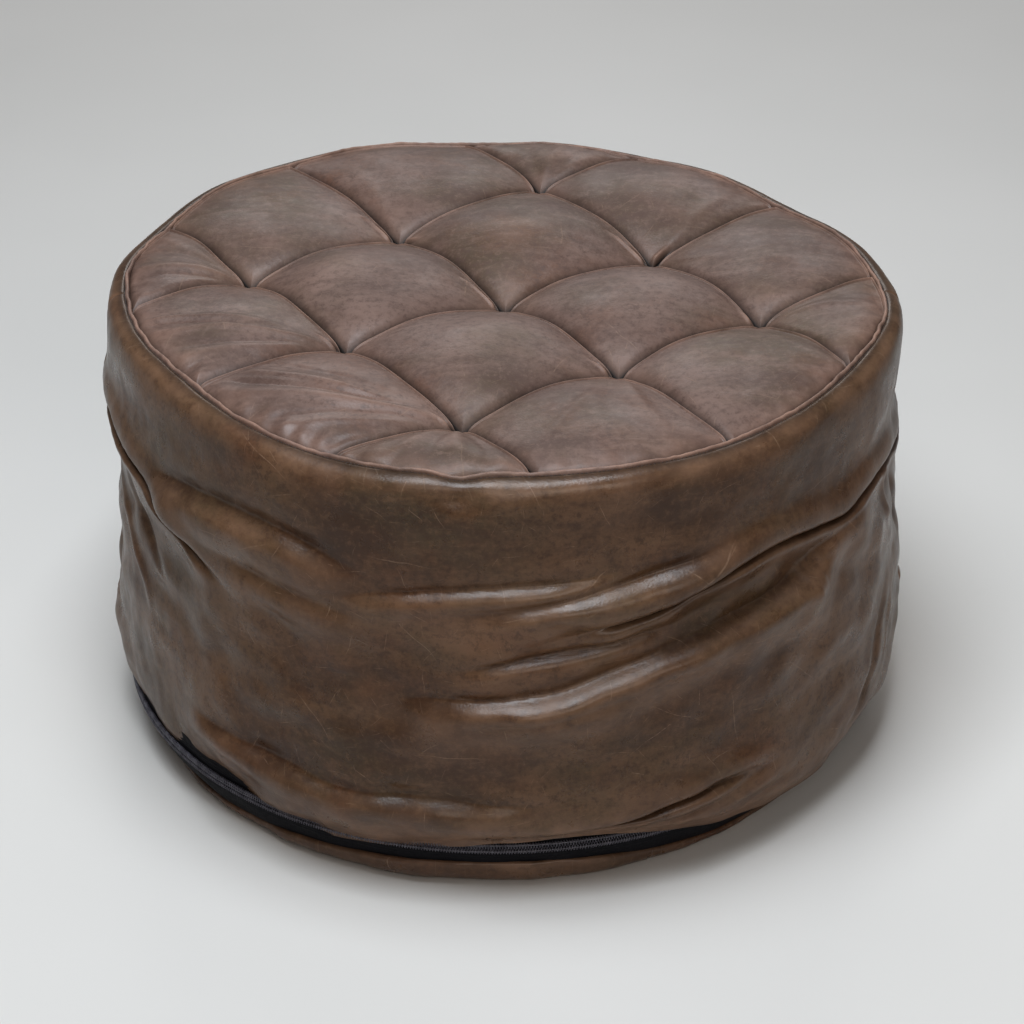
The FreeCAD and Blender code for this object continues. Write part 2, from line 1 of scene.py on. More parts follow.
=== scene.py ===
import bpy
import numpy as np
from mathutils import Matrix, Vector


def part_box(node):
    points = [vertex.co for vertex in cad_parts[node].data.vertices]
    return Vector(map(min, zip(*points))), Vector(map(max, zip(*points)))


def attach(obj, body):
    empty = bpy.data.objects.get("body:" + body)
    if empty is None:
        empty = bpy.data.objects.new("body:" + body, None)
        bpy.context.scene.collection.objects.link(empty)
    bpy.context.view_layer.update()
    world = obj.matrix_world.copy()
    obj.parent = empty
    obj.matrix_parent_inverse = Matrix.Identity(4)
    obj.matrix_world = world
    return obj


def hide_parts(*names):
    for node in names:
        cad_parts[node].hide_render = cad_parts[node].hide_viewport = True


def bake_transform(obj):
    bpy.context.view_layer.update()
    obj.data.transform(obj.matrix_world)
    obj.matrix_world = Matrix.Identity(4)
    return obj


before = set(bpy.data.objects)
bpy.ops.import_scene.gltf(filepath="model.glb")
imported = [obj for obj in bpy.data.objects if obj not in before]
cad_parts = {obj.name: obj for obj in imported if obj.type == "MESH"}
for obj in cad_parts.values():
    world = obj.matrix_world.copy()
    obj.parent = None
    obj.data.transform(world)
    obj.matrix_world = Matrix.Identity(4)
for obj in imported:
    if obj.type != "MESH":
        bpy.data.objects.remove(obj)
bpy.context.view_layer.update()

# A round tufted leather pouf: sixteen leather panels sewn along three seams each way and pulled down at nine
# tufts, a raised rim seam, a soft side band whose slack hangs in folds under the firm top pad, and a base
# that zips on. Shapes are worked out in millimetres and angles in degrees, anticlockwise from +X seen from
# above; the front is at -90.

MM = 0.001


def corners_mm(node):
    """The low and the high corner of a CAD node's box."""
    low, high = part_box(node)
    return np.array(low) / MM, np.array(high) / MM


RIM_LIP = 1.4                                            # half the width of the rolled rim seam
RIM_R = corners_mm("rim_welt")[1][0] - RIM_LIP
RIM_Z = corners_mm("rim_welt")[0][2] + RIM_LIP
HEM_Z = corners_mm("side_panel_front")[0][2]
ZIP_Z = (corners_mm("zip_coil_lower")[0][2] + corners_mm("zip_coil_upper")[1][2]) / 2
ZIP_R = corners_mm("zip_tape_upper")[1][0]               # outer face of the zip tapes
BASE_EDGE_R = corners_mm("base_panel")[1][0]
BASE_EDGE_Z = corners_mm("base_panel")[1][2]
PAD_FLOOR_Z = corners_mm("top_foam_pad")[0][2]
ZIP_START, ZIP_END = 110.0, 430.0                        # the back, from 70 to 110, has no zip


# --- Numbers and noise -----------------------------------------------------------------------------------

def ease(low, high, x):
    """0 at low and before it, 1 at high and beyond, and smooth between. low may be the larger."""
    t = np.clip((x - low) / (high - low), 0, 1)
    return t * t * (3 - 2 * t)


def bell(x, width):
    return np.exp(-(x / width) ** 2)


def turn(x, y, degrees):
    c, s = np.cos(np.radians(degrees)), np.sin(np.radians(degrees))
    return x * c - y * s, x * s + y * c


def ripple(points, size, seed):
    """Smooth noise from -1 to 1 or so at (n, 3) points, with features of about that size in mm."""
    waves = 26
    rng = np.random.default_rng(seed)
    ways = rng.normal(size=(waves, 3))
    lengths = np.linalg.norm(ways, axis=1, keepdims=True)
    ways *= (2 * np.pi / size * rng.uniform(0.6, 1.4, (waves, 1))) / lengths
    total = np.sin(points @ ways.T + rng.uniform(0, 2 * np.pi, waves)).sum(axis=1)
    return total / np.sqrt(waves / 2) / 1.8


def smooth_path(points, steps=10):
    """A Catmull-Rom curve through the points."""
    p = np.asarray(points, float)
    p = np.vstack([2 * p[0] - p[1], p, 2 * p[-1] - p[-2]])
    t = np.linspace(0, 1, steps, endpoint=False)[:, None]
    parts = []
    for a, b, c, d in zip(p, p[1:], p[2:], p[3:]):
        parts.append(0.5 * (2 * b + (c - a) * t + (2 * a - 5 * b + 4 * c - d) * t**2
                            + (3 * b - a - 3 * c + d) * t**3))
    return np.vstack(parts + [p[-2:-1]])


def path_offset(x, y, path):
    """For each point, its signed distance left of the path, and how far along the path it is, both in mm."""
    start, end = path[:-1], path[1:]
    step = end - start
    length = np.linalg.norm(step, axis=1)
    before = np.concatenate([[0], np.cumsum(length)])[:-1]
    best = np.full(len(x), 1e9)
    side, along = np.zeros(len(x)), np.zeros(len(x))
    for a, d, run, done in zip(start, step, length, before):
        px, py = x - a[0], y - a[1]
        t = np.clip((px * d[0] + py * d[1]) / run**2, 0, 1)
        gap = np.hypot(px - t * d[0], py - t * d[1])
        near = gap < best
        best[near] = gap[near]
        side[near] = np.sign(d[0] * py - d[1] * px)[near]
        along[near] = (done + t * run)[near]
    return best * side, along, float(length.sum())


def around(az, places):
    """A smooth curve through (angle, value) places that closes on itself, read at the angles az."""
    whole = np.arange(360.0)
    angles, values = zip(*sorted((angle % 360, value) for angle, value in places))
    level = np.interp(whole, angles, values, period=360)
    near = bell((whole + 180) % 360 - 180, 5)
    rounded = np.real(np.fft.ifft(np.fft.fft(level) * np.fft.fft(near / near.sum())))
    return np.interp(np.asarray(az) % 360, whole, rounded, period=360)


# --- Meshes ----------------------------------------------------------------------------------------------

def mesh_piece(name, points, faces, material, body="cover", wear=None, skin=None, crease_shade=None):
    """A smooth-shaded mesh from points in mm, which rides on a CAD body unless body is None.

    wear and the crease shade are 0 to 1 at each point, and skin is its flat place on the hide in mm. Leather
    needs them. The crease shade is painted shade that darkens seams and creases.
    """
    mesh = bpy.data.meshes.new(name)
    mesh.from_pydata((np.asarray(points) * MM).tolist(), [], np.asarray(faces).tolist())
    mesh.validate()
    mesh.shade_smooth()
    if wear is not None:
        layer = mesh.attributes.new("wear", "FLOAT", "POINT")
        layer.data.foreach_set("value", np.clip(wear, 0, 1).astype(np.float32))
        if crease_shade is not None:
            layer = mesh.attributes.new("crease_shade", "FLOAT", "POINT")
            layer.data.foreach_set("value", np.clip(crease_shade, 0, 1).astype(np.float32))
        if skin is None:
            skin = np.asarray(points)[:, :2]
        flat = np.zeros((len(points), 3), np.float32)
        flat[:, :2] = skin * MM
        layer = mesh.attributes.new("skin", "FLOAT_VECTOR", "POINT")
        layer.data.foreach_set("vector", flat.ravel())
    mesh.materials.append(material)
    piece = bpy.data.objects.new(name, mesh)
    bpy.context.scene.collection.objects.link(piece)
    if body:
        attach(piece, body)
    return piece


def grid_quads(rows, columns, ring=False):
    """Faces of a grid of points stored row by row. ring joins the last column to the first."""
    i, j = np.meshgrid(np.arange(rows - 1), np.arange(columns if ring else columns - 1), indexing="ij")
    k = (j + 1) % columns
    here, above = i * columns, (i + 1) * columns
    return np.stack([here + j, here + k, above + k, above + j], axis=-1).reshape(-1, 4)


def tube(path, radius, sides=8, closed=False):
    """Points and faces of a round tube along a path of points."""
    path = np.asarray(path, float)
    ahead = np.roll(path, -1, axis=0) - np.roll(path, 1, axis=0)
    if not closed:
        ahead[0], ahead[-1] = path[1] - path[0], path[-1] - path[-2]
    ahead /= np.linalg.norm(ahead, axis=1, keepdims=True)
    helper = np.where(np.abs(ahead[:, 2:3]) > 0.9, [[1.0, 0, 0]], [[0, 0, 1.0]])
    across = np.cross(ahead, helper)
    across /= np.linalg.norm(across, axis=1, keepdims=True)
    up = np.cross(across, ahead)
    phase = np.linspace(0, 2 * np.pi, sides, endpoint=False)
    c, s = np.cos(phase)[None, :, None], np.sin(phase)[None, :, None]
    points = (path[:, None] + radius * (c * across[:, None] + s * up[:, None])).reshape(-1, 3)
    faces = grid_quads(len(path), sides, ring=True)
    if closed:
        n = len(path)
        i = np.arange(sides)
        k = (i + 1) % sides
        last = np.stack([(n - 1) * sides + i, (n - 1) * sides + k, k, i], axis=-1)
        faces = np.vstack([faces, last])
    return points, faces


def joined(parts):
    """Several (points, faces) meshes as one."""
    points, faces, count = [], [], 0
    for p, f in parts:
        points.append(p)
        faces.append(np.asarray(f) + count)
        count += len(p)
    return np.vstack(points), np.vstack(faces)


def ring_points(az, radius, z):
    """Points at the angles az, at a radius and height that may change with them."""
    a = np.radians(az)
    return np.stack([radius * np.cos(a), radius * np.sin(a), z * np.ones_like(a)], axis=-1)


# --- Materials -------------------------------------------------------------------------------------------

class Shader:
    """A short way to add and link the nodes of one material."""

    def __init__(self, name):
        self.material = bpy.data.materials.new(name)
        self.material.use_nodes = True
        self.tree = self.material.node_tree
        self.surface = self.tree.nodes["Principled BSDF"]
        self.place = self.tree.nodes.new("ShaderNodeTexCoord").outputs["Object"]

    def node(self, kind, **inputs):
        node = self.tree.nodes.new(f"ShaderNode{kind}")
        for name, given in inputs.items():
            self.feed(node.inputs[name.replace("_", " ")], given)
        return node

    def feed(self, socket, given):
        if isinstance(given, bpy.types.NodeSocket):
            self.tree.links.new(given, socket)
        else:
            socket.default_value = given

    def stretched(self, x, y, z, tilt=0.0):
        node = self.node("Mapping", Vector=self.place)
        node.inputs["Scale"].default_value = (x, y, z)
        node.inputs["Rotation"].default_value = (tilt, tilt * 0.7, tilt * 1.3)
        return node.outputs[0]

    def noise(self, scale, detail=4.0, roughness=0.55, distortion=0.0, at=None):
        node = self.node("TexNoise", Vector=at or self.place, Scale=scale, Detail=detail,
                         Roughness=roughness, Distortion=distortion)
        return node.outputs["Fac"]

    def cells(self, scale, at=None, feature="F1"):
        node = self.node("TexVoronoi", Vector=at or self.place, Scale=scale)
        node.feature = feature
        return node.outputs["Distance"]

    def ramp(self, factor, *stops):
        """Colours or grey levels at places along factor: each stop is (place, colour or level)."""
        node = self.node("ValToRGB", Fac=factor)
        ramp = node.color_ramp
        while len(ramp.elements) < len(stops):
            ramp.elements.new(1.0)
        for element, (place, level) in zip(ramp.elements, stops):
            element.position = place
            element.color = (level, level, level, 1) if isinstance(level, (int, float)) else (*level, 1)
        return node.outputs["Color"]

    def mix(self, factor, first, second):
        node = self.tree.nodes.new("ShaderNodeMix")
        node.data_type = "RGBA"
        for socket, given in ((node.inputs[0], factor), (node.inputs[6], first), (node.inputs[7], second)):
            self.feed(socket, (*given, 1) if isinstance(given, tuple) and len(given) == 3 else given)
        return node.outputs[2]

    def math(self, operation, first, second=0.0):
        node = self.tree.nodes.new("ShaderNodeMath")
        node.operation = operation
        self.feed(node.inputs[0], first)
        self.feed(node.inputs[1], second)
        return node.outputs[0]

    def vector_math(self, operation, first, second=(0, 0, 0)):
        node = self.tree.nodes.new("ShaderNodeVectorMath")
        node.operation = operation
        self.feed(node.inputs[0], first)
        self.feed(node.inputs[1], second)
        return node.outputs["Value" if operation == "DOT_PRODUCT" else "Vector"]

    def attribute(self, name, output="Fac"):
        node = self.tree.nodes.new("ShaderNodeAttribute")
        node.attribute_name = name
        return node.outputs[output]

    def bump(self, height, strength, distance, under=None):
        node = self.node("Bump", Height=height, Strength=strength, Distance=distance)
        if under is not None:
            self.tree.links.new(under, node.inputs["Normal"])
        return node.outputs["Normal"]

    def finish(self, color, roughness, normal=None, **constants):
        self.feed(self.surface.inputs["Base Color"], (*color, 1) if isinstance(color, tuple) else color)
        self.feed(self.surface.inputs["Roughness"], roughness)
        if normal is not None:
            self.tree.links.new(normal, self.surface.inputs["Normal"])
        for name, value in constants.items():
            self.surface.inputs[name.replace("_", " ")].default_value = value
        return self.material


def scratches(s, skin, spacing, length, width, share, shift):
    """Short fine scratches that lie every way, one in each cell of the hide, kept where a noise is high."""
    moved = s.vector_math("ADD", skin, (shift, shift * 0.6, 0))
    bend = s.node("TexNoise", Vector=moved, Scale=45.0, Detail=1.0).outputs["Color"]
    bend = s.vector_math("MULTIPLY", s.vector_math("SUBTRACT", bend, (0.5, 0.5, 0.5)), (0.006, 0.006, 0))
    place = s.vector_math("ADD", moved, bend)
    cell = s.node("TexVoronoi", Vector=place, Scale=1 / spacing)
    from_middle = s.vector_math("SUBTRACT", place, cell.outputs["Position"])
    chance = s.node("SeparateColor", Color=cell.outputs["Color"]).outputs
    angle = s.math("MULTIPLY", chance[0], 2 * np.pi)
    c, si = s.math("COSINE", angle), s.math("SINE", angle)
    along = s.vector_math("DOT_PRODUCT", from_middle, s.node("CombineXYZ", X=c, Y=si).outputs[0])
    sideways = s.node("CombineXYZ", X=s.math("MULTIPLY", si, -1.0), Y=c).outputs[0]
    across = s.vector_math("DOT_PRODUCT", from_middle, sideways)
    thin = s.ramp(s.math("MULTIPLY", s.math("ABSOLUTE", across), 0.5 / width), (0.0, 1.0), (0.5, 0.0))
    short = s.ramp(s.math("MULTIPLY", s.math("ABSOLUTE", along), 1.0 / length), (0.2, 1.0), (0.5, 0.0))
    some = s.ramp(chance[1], (share, 1.0), (share + 0.02, 0.0))
    patchy = s.ramp(s.noise(300.0, detail=2.0, at=moved), (0.35, 0.15), (0.6, 1.0))
    return s.math("MULTIPLY", s.math("MULTIPLY", thin, short), s.math("MULTIPLY", some, patchy))


def leather(name, dark, middle, light, worn, gloss, scratched):
    """Waxed pull-up leather: cloudy browns, lighter where it is stretched or rubbed, pores and scratches, and
    painted shade darkening its seams and creases.
    """
    s = Shader(name)
    wear = s.attribute("wear")
    skin = s.attribute("skin", "Vector")
    smeared = s.vector_math("MULTIPLY", skin, (0.28, 1.0, 1.0))
    clouds = s.noise(6.5, detail=3.0, roughness=0.5, distortion=0.6)
    color = s.ramp(clouds, (0.32, dark), (0.50, middle), (0.70, light))
    olive = s.noise(9.0, detail=4.0, roughness=0.6, at=s.stretched(1, 1, 1.6, 2.0))
    color = s.mix(s.ramp(olive, (0.46, 0.0), (0.68, 0.65)), color, OLIVE)
    rust = s.noise(14.0, detail=5.0, roughness=0.65, at=s.stretched(1, 1, 1.3, 4.0))
    color = s.mix(s.ramp(rust, (0.52, 0.0), (0.75, 0.6)), color, RUST)
    smears = s.noise(50.0, detail=6.0, roughness=0.68, distortion=0.4, at=smeared)
    color = s.mix(s.ramp(smears, (0.32, 0.75), (0.49, 0.0)), color, dark)
    color = s.mix(s.ramp(smears, (0.51, 0.0), (0.70, 0.75)), color, light)
    speckle = s.noise(190.0, detail=4.0, roughness=0.75)
    color = s.mix(s.ramp(speckle, (0.36, 0.75), (0.50, 0.0)), color, dark)
    color = s.mix(s.ramp(speckle, (0.52, 0.0), (0.70, 0.55)), color, light)
    rubbed = s.math("MULTIPLY", wear, s.ramp(s.noise(42.0, detail=5.0), (0.34, 0.25), (0.62, 1.0)))
    color = s.mix(rubbed, color, worn)
    long_lines = scratches(s, skin, 0.070, 0.050, 0.00050, 0.50, 1.3)
    short_lines = scratches(s, skin, 0.026, 0.020, 0.00036, 0.35, 5.1)
    hair_lines = scratches(s, skin, 0.013, 0.011, 0.00028, 0.35, 9.7)
    lines = s.math("MAXIMUM", long_lines, s.math("MAXIMUM", short_lines, s.math("MULTIPLY", hair_lines, 0.7)))
    color = s.mix(s.math("MULTIPLY", lines, scratched), color, SCRATCHED)
    # Painted shade: the crease shade attribute darkens seams, creases, tuft dimples and pleat grooves towards
    # a near-black brown, standing in for shadow.
    color = s.mix(s.attribute("crease_shade"), color, CREASE_SHADE_COLOR)
    elsewhere = s.vector_math("ADD", s.vector_math("MULTIPLY", skin, (0.6, 1.0, 1.0)), (3, 2, 0))
    creases = s.cells(60.0, at=elsewhere, feature="DISTANCE_TO_EDGE")
    normal = s.bump(s.ramp(creases, (0.0, 0.0), (0.06, 1.0)), 0.06, 0.0005)
    normal = s.bump(s.noise(70.0, detail=4.0, at=s.stretched(1, 1, 1.7, 0.9)), 0.14, 0.0006, under=normal)
    grain = s.math("ADD", s.cells(520.0), s.math("MULTIPLY", s.noise(900.0, detail=3.0), 0.7))
    normal = s.bump(grain, 0.25, 0.00025, under=normal)
    dull = s.ramp(s.noise(30.0, detail=6.0, roughness=0.65), (0.32, gloss - 0.06), (0.68, gloss + 0.12))
    dull = s.math("ADD", dull, s.math("MULTIPLY", s.math("ADD", lines, rubbed), 0.12))
    return s.finish(color, dull, normal, Specular_IOR_Level=0.36)


def woven(name, dark, light, pitch):
    """Plain narrow cloth such as zip tape, lining or twine."""
    s = Shader(name)
    strands = [s.node("TexWave", Vector=at, Scale=1.0 / pitch / 6.283, Distortion=0.6).outputs["Fac"]
               for at in (s.place, s.stretched(1, 1, 1, 1.57))]
    weave = s.math("MAXIMUM", *strands)
    fuzz = s.noise(420.0, detail=4.0)
    color = s.mix(s.math("MULTIPLY", weave, fuzz), dark, light)
    normal = s.bump(s.math("ADD", weave, s.math("MULTIPLY", fuzz, 0.5)), 0.5, 0.0002)
    return s.finish(color, s.ramp(fuzz, (0.3, 0.62), (0.7, 0.82)), normal, Specular_IOR_Level=0.18)


def spun(name, low, high):
    """Sewing thread and twine: twisted fibres with a slight sheen."""
    s = Shader(name)
    twist = s.noise(900.0, detail=2.0, at=s.stretched(1, 1, 3, 0.7))
    color = s.mix(twist, low, high)
    return s.finish(color, 0.55, s.bump(twist, 0.4, 0.0002), Sheen_Weight=0.2)


def nylon(name):
    """The zip's coil: smooth black plastic."""
    s = Shader(name)
    haze = s.noise(160.0, detail=3.0)
    color = s.ramp(haze, (0.3, (0.060, 0.056, 0.070)), (0.8, (0.140, 0.132, 0.155)))
    return s.finish(color, s.ramp(haze, (0.3, 0.22), (0.7, 0.34)), s.bump(haze, 0.1, 0.0001))


def zip_metal(name):
    """Black enamelled metal, rubbed bare in places."""
    s = Shader(name)
    brushed = s.noise(300.0, detail=5.0, at=s.stretched(1, 1, 12))
    rubbed = s.noise(90.0, detail=3.0)
    color = s.ramp(rubbed, (0.40, (0.030, 0.030, 0.033)), (0.75, (0.16, 0.15, 0.14)))
    dull = s.ramp(brushed, (0.3, 0.26), (0.7, 0.42))
    return s.finish(color, dull, s.bump(brushed, 0.08, 0.0001), Metallic=0.9)


def fibre(name, low, high, scale=60.0):
    """Wadding and fibre board, hidden inside."""
    s = Shader(name)
    fluff = s.noise(scale, detail=8.0, roughness=0.7)
    return s.finish(s.ramp(fluff, (0.3, low), (0.7, high)), 0.9, s.bump(fluff, 0.6, 0.002), Sheen_Weight=0.3)


OLIVE = (0.062, 0.043, 0.020)
RUST = (0.125, 0.050, 0.024)
SCRATCHED = (0.33, 0.22, 0.15)
# Colour of the painted shade laid into seams and creases.
CREASE_SHADE_COLOR = (0.010, 0.006, 0.004)
# Two copies of one leather. The top's is painted lighter and greyer, standing in for the brighter light and
# the sheen on the top. The side's, also used on the base and the hinge, is painted darker and more saturated.
LIT_TOP_LEATHER = leather("leather_top_painted_lit", (0.084, 0.049, 0.038), (0.126, 0.078, 0.062), (0.176, 0.112, 0.089),
                      (0.31, 0.185, 0.135), gloss=0.43, scratched=0.36)
SHADED_SIDE_LEATHER = leather("leather_side_painted_shaded", (0.048, 0.022, 0.011), (0.086, 0.043, 0.021), (0.140, 0.076, 0.040),
                       (0.24, 0.140, 0.088), gloss=0.28, scratched=0.50)
THREAD = spun("thread", (0.016, 0.009, 0.006), (0.045, 0.026, 0.018))
TWINE = spun("twine", (0.12, 0.075, 0.045), (0.25, 0.17, 0.11))
TAPE = woven("zip_tape", (0.002, 0.002, 0.003), (0.007, 0.006, 0.010), 0.0009)
COIL = nylon("zip_coil")
METAL = zip_metal("zip_metal")
LINING = woven("lining", (0.010, 0.010, 0.011), (0.030, 0.030, 0.032), 0.0007)
WADDING = fibre("wadding", (0.62, 0.60, 0.56), (0.80, 0.79, 0.75))
WASHER = fibre("fibre_washer", (0.45, 0.43, 0.38), (0.62, 0.60, 0.54), scale=300.0)


# --- The rim and the tufted top --------------------------------------------------------------------------

# The rim's slow waves: lobes round the rim, swing in mm, and an angle where it swings out.
RIM_WAVES = ((1, 3.6, 73), (2, 8.0, -47), (3, 4.5, 10), (4, 2.0, 0), (6, 2.4, 0))
TUFT_PITCH = 137.5
TUFT_TURN = 35.4
GRID_SHIFT = (4.0, 0.5)
TUFT_DROP = 12.0             # tufts below the rim seam
SEAM_RISE = 12.0             # a seam's arch between two tufts
OUTER_RISE = 7.5             # and between a tuft and the rim
BILLOW = 2.0                 # a panel's own crown
# How far each tuft is off the even grid: (x, y, z) in mm for each (column, row).
TUFT_SHIFTS = {
    (-1, 1): (2, 1, 0), (0, 1): (-1, -1, 0), (1, 1): (-4, 1, 6),
    (-1, 0): (-1, 1, 3), (0, 0): (1, 0, -4), (1, 0): (2, 0, -5),
    (-1, -1): (4, -2, 0), (0, -1): (2, 0, 0), (1, -1): (-4, 0, 0),
}
RIM_PULL_AT = -95.0
SEAM_ENDS = 12               # seams meet the rim at this many places
SEAM_END_AT = 5.4            # the angle of one of them
RIM_LINES = 2                # a grid index of 2 or -2 stands for the rim


def rim_wave(az):
    """How far the rim is out of round."""
    return sum(swing * np.cos(lobes * np.radians(az - out)) for lobes, swing, out in RIM_WAVES)


def rim_pull(az):
    """1 at the place near the front where a thread pulls the rim seam out and down, and 0 elsewhere."""
    return bell(((np.asarray(az) - RIM_PULL_AT + 180) % 360 - 180) * np.pi / 180 * RIM_R, 15)


def rim_height(az):
    """Height of the rim seam: gentle waves, lowest where each seam pulls on it."""
    a = np.radians(az)
    waves = 1.2 * np.sin(2 * a + 0.6) + 0.9 * np.sin(5 * a + 2.0)
    return RIM_Z - 3.0 * rim_pull(az) + waves - 0.9 * np.cos(SEAM_ENDS * (a - np.radians(SEAM_END_AT)))


def rim_radius(az):
    pull = 1.3 * np.cos(SEAM_ENDS * np.radians(az - SEAM_END_AT))
    return RIM_R + rim_wave(az) - pull + 2.0 * rim_pull(az)


def rim_point(az):
    return ring_points(np.asarray(az, float), rim_radius(az), rim_height(az))


def rim_azimuth(i, j):
    """Where grid line crossing (i, j), which is on the rim, meets it."""
    u, v = float(i), float(j)
    if abs(i) == RIM_LINES and abs(j) == RIM_LINES:
        u, v = np.sign(i), np.sign(j)
    else:
        reach = np.sqrt((RIM_R / TUFT_PITCH) ** 2 - (v if abs(i) == RIM_LINES else u) ** 2)
        u = np.sign(u) * reach if abs(i) == RIM_LINES else u
        v = np.sign(v) * reach if abs(j) == RIM_LINES else v
    x, y = turn(u, v, TUFT_TURN)
    return np.degrees(np.arctan2(y, x))


def grid_point(i, j):
    """A tuft, or the place where a seam meets the rim."""
    if RIM_LINES in (abs(i), abs(j)):
        return rim_point(rim_azimuth(i, j))
    x, y = turn(i * TUFT_PITCH, j * TUFT_PITCH, TUFT_TURN)
    dx, dy, dz = TUFT_SHIFTS[(i, j)]
    return np.array([x + dx + GRID_SHIFT[0], y + dy + GRID_SHIFT[1], RIM_Z - TUFT_DROP + dz])


def edge_line(a, b, t):
    """Points along one edge of a panel, from grid crossing a to b: a seam, or a stretch of the rim."""
    if RIM_LINES in (abs(a[0]), abs(a[1])) and RIM_LINES in (abs(b[0]), abs(b[1])):
        first, last = rim_azimuth(*a), rim_azimuth(*b)
        last += 360 * round((first - last) / 360)
        return rim_point(first + (last - first) * t)
    if a > b:
        return edge_line(b, a, 1 - t)
    start, end = grid_point(*a), grid_point(*b)
    line = start + (end - start) * t[:, None]
    outer = RIM_LINES in (abs(a[0]), abs(a[1]), abs(b[0]), abs(b[1]))
    line[:, 2] += (OUTER_RISE if outer else SEAM_RISE) * 4 * t * (1 - t)
    across = np.array([start[1] - end[1], end[0] - start[0]]) / np.linalg.norm(end - start)
    seed = 3 * (a[0] + 2) + 7 * (a[1] + 2) + 5 * b[0]
    wander = 1.6 * np.sin(np.pi * t) * np.sin(2.2 * np.pi * t + seed)
    line[:, :2] += wander[:, None] * across
    return line


# Folds pulled from each tuft: the direction a fold runs in, where it starts and ends along that way, its
# height and its half width, in mm. A negative height is a valley.
PULLED_FOLDS = {
    (-1, 1): ((178, 10, 105, 1.9, 7.0), (194, 12, 100, -1.3, 6.0), (209, 14, 95, 1.1, 7.0),
        (158, 20, 100, -0.9, 6.0), (141, 30, 95, 0.9, 8.0)),
    (-1, 0): ((181, 14, 152, 2.6, 7.5), (173, 60, 160, -2.4, 4.5), (169, 70, 160, 1.6, 3.5),
        (191, 40, 140, -1.4, 5.0), (198, 30, 130, 1.2, 8.0), (214, 50, 110, -0.6, 6.0)),
    (-1, -1): ((172, 14, 165, 2.4, 8.0), (165, 60, 170, -2.0, 4.0), (160, 70, 172, 1.6, 4.5),
        (152, 80, 175, -1.0, 4.0), (183, 20, 150, -1.3, 6.0), (192, 50, 130, 1.3, 5.0),
        (203, 60, 115, -1.0, 4.0), (266, 10, 66, 1.8, 7.0), (247, 12, 66, -1.2, 5.0),
        (286, 14, 75, -1.0, 5.0), (229, 14, 80, 0.9, 5.0)),
    (0, -1): ((283, 12, 130, 1.2, 7.0), (264, 30, 120, -0.7, 6.0), (248, 60, 135, 1.0, 5.0)),
    (1, -1): ((3, 12, 85, 1.1, 6.0), (20, 12, 80, -0.8, 5.0), (262, 20, 140, -0.8, 9.0)),
    (1, 0): ((52, 10, 112, 0.9, 7.0), (330, 12, 60, 0.7, 5.0)),
    (1, 1): ((74, 12, 75, 1.2, 6.0), (57, 12, 75, -0.9, 6.0), (101, 14, 75, -0.9, 6.0)),
    (0, 1): ((112, 12, 110, 0.8, 9.0),),
    (0, 0): ((160, 10, 70, 0.5, 6.0), (285, 10, 60, 0.5, 6.0)),
}
# Short second folds beside a seam, close to its tuft: tuft, direction and length.
PLEATS = (((0, 1), 131, 46), ((0, 0), 131, 46), ((1, 0), 131, 48), ((-1, 0), 137, 30), ((1, -1), 120, 26),
          ((0, -1), 137, 28), ((-1, -1), 140, 28), ((1, 0), 40, 26), ((0, 1), 318, 20))


def pleat_relief(x, y):
    """Height that the pleats add: a ridge beside the seam, with a groove between them."""
    relief = np.zeros_like(x)
    for tuft, way, length in PLEATS:
        at = grid_point(*tuft)
        along, across = turn(x - at[0], y - at[1], -way)
        kept = ease(1, 8, along) * (1 - ease(length - 20, length, along))
        spread = across - 4.5 - 0.05 * along
        relief += kept * (2.6 * bell(spread, 1.7) - 2.6 * bell(spread + 2.6, 1.2))
    return relief


def pulled_relief(x, y):
    """Height that the pulled folds and the small rim gathers add."""
    relief = np.zeros_like(x)
    folds = [(tuft, *fold) for tuft, tuft_folds in PULLED_FOLDS.items() for fold in tuft_folds]
    for tuft, way, start, end, height, width in folds:
        at = grid_point(*tuft)
        along, across = turn(x - at[0], y - at[1], -way)
        wander = 3.0 * np.sin(along / 31.0 + way)
        widen = width * (0.55 + 0.45 * np.clip(along / end, 0, 1.2))
        kept = ease(start * 0.4, start + 18, along) * (1 - ease(end - 18, end + 12, along))
        relief += height * kept * bell(across + wander * np.clip(along / 60, 0, 1), widen)
    az = np.degrees(np.arctan2(y, x))
    inward = rim_radius(az) - np.hypot(x, y)
    gathers = np.sin(np.radians(az) * 74 + 3.0 * np.sin(np.radians(az) * 9)) * bell(inward - 4, 14)
    amount = 0.35 + 0.9 * bell((az + 150) % 360, 35) + 0.8 * bell(az + 140, 42) + 0.5 * bell(az + 25, 30)
    return relief + 0.8 * amount * gathers


def panel_samples(fine, count):
    """Places from 0 to 1 along a panel's edge, closer together near both ends."""
    t = np.linspace(0, 1, count)
    return t - fine * np.sin(2 * np.pi * t) / (2 * np.pi)


ROLL = 1.6                   # radius of a panel's edge where it turns down into a seam
SKIRT = 3.0                  # how far it goes on down
SEAM_GAP = 0.42              # from the middle of the seam to the leather
PANEL_COUNT = 118            # points along each edge of a panel


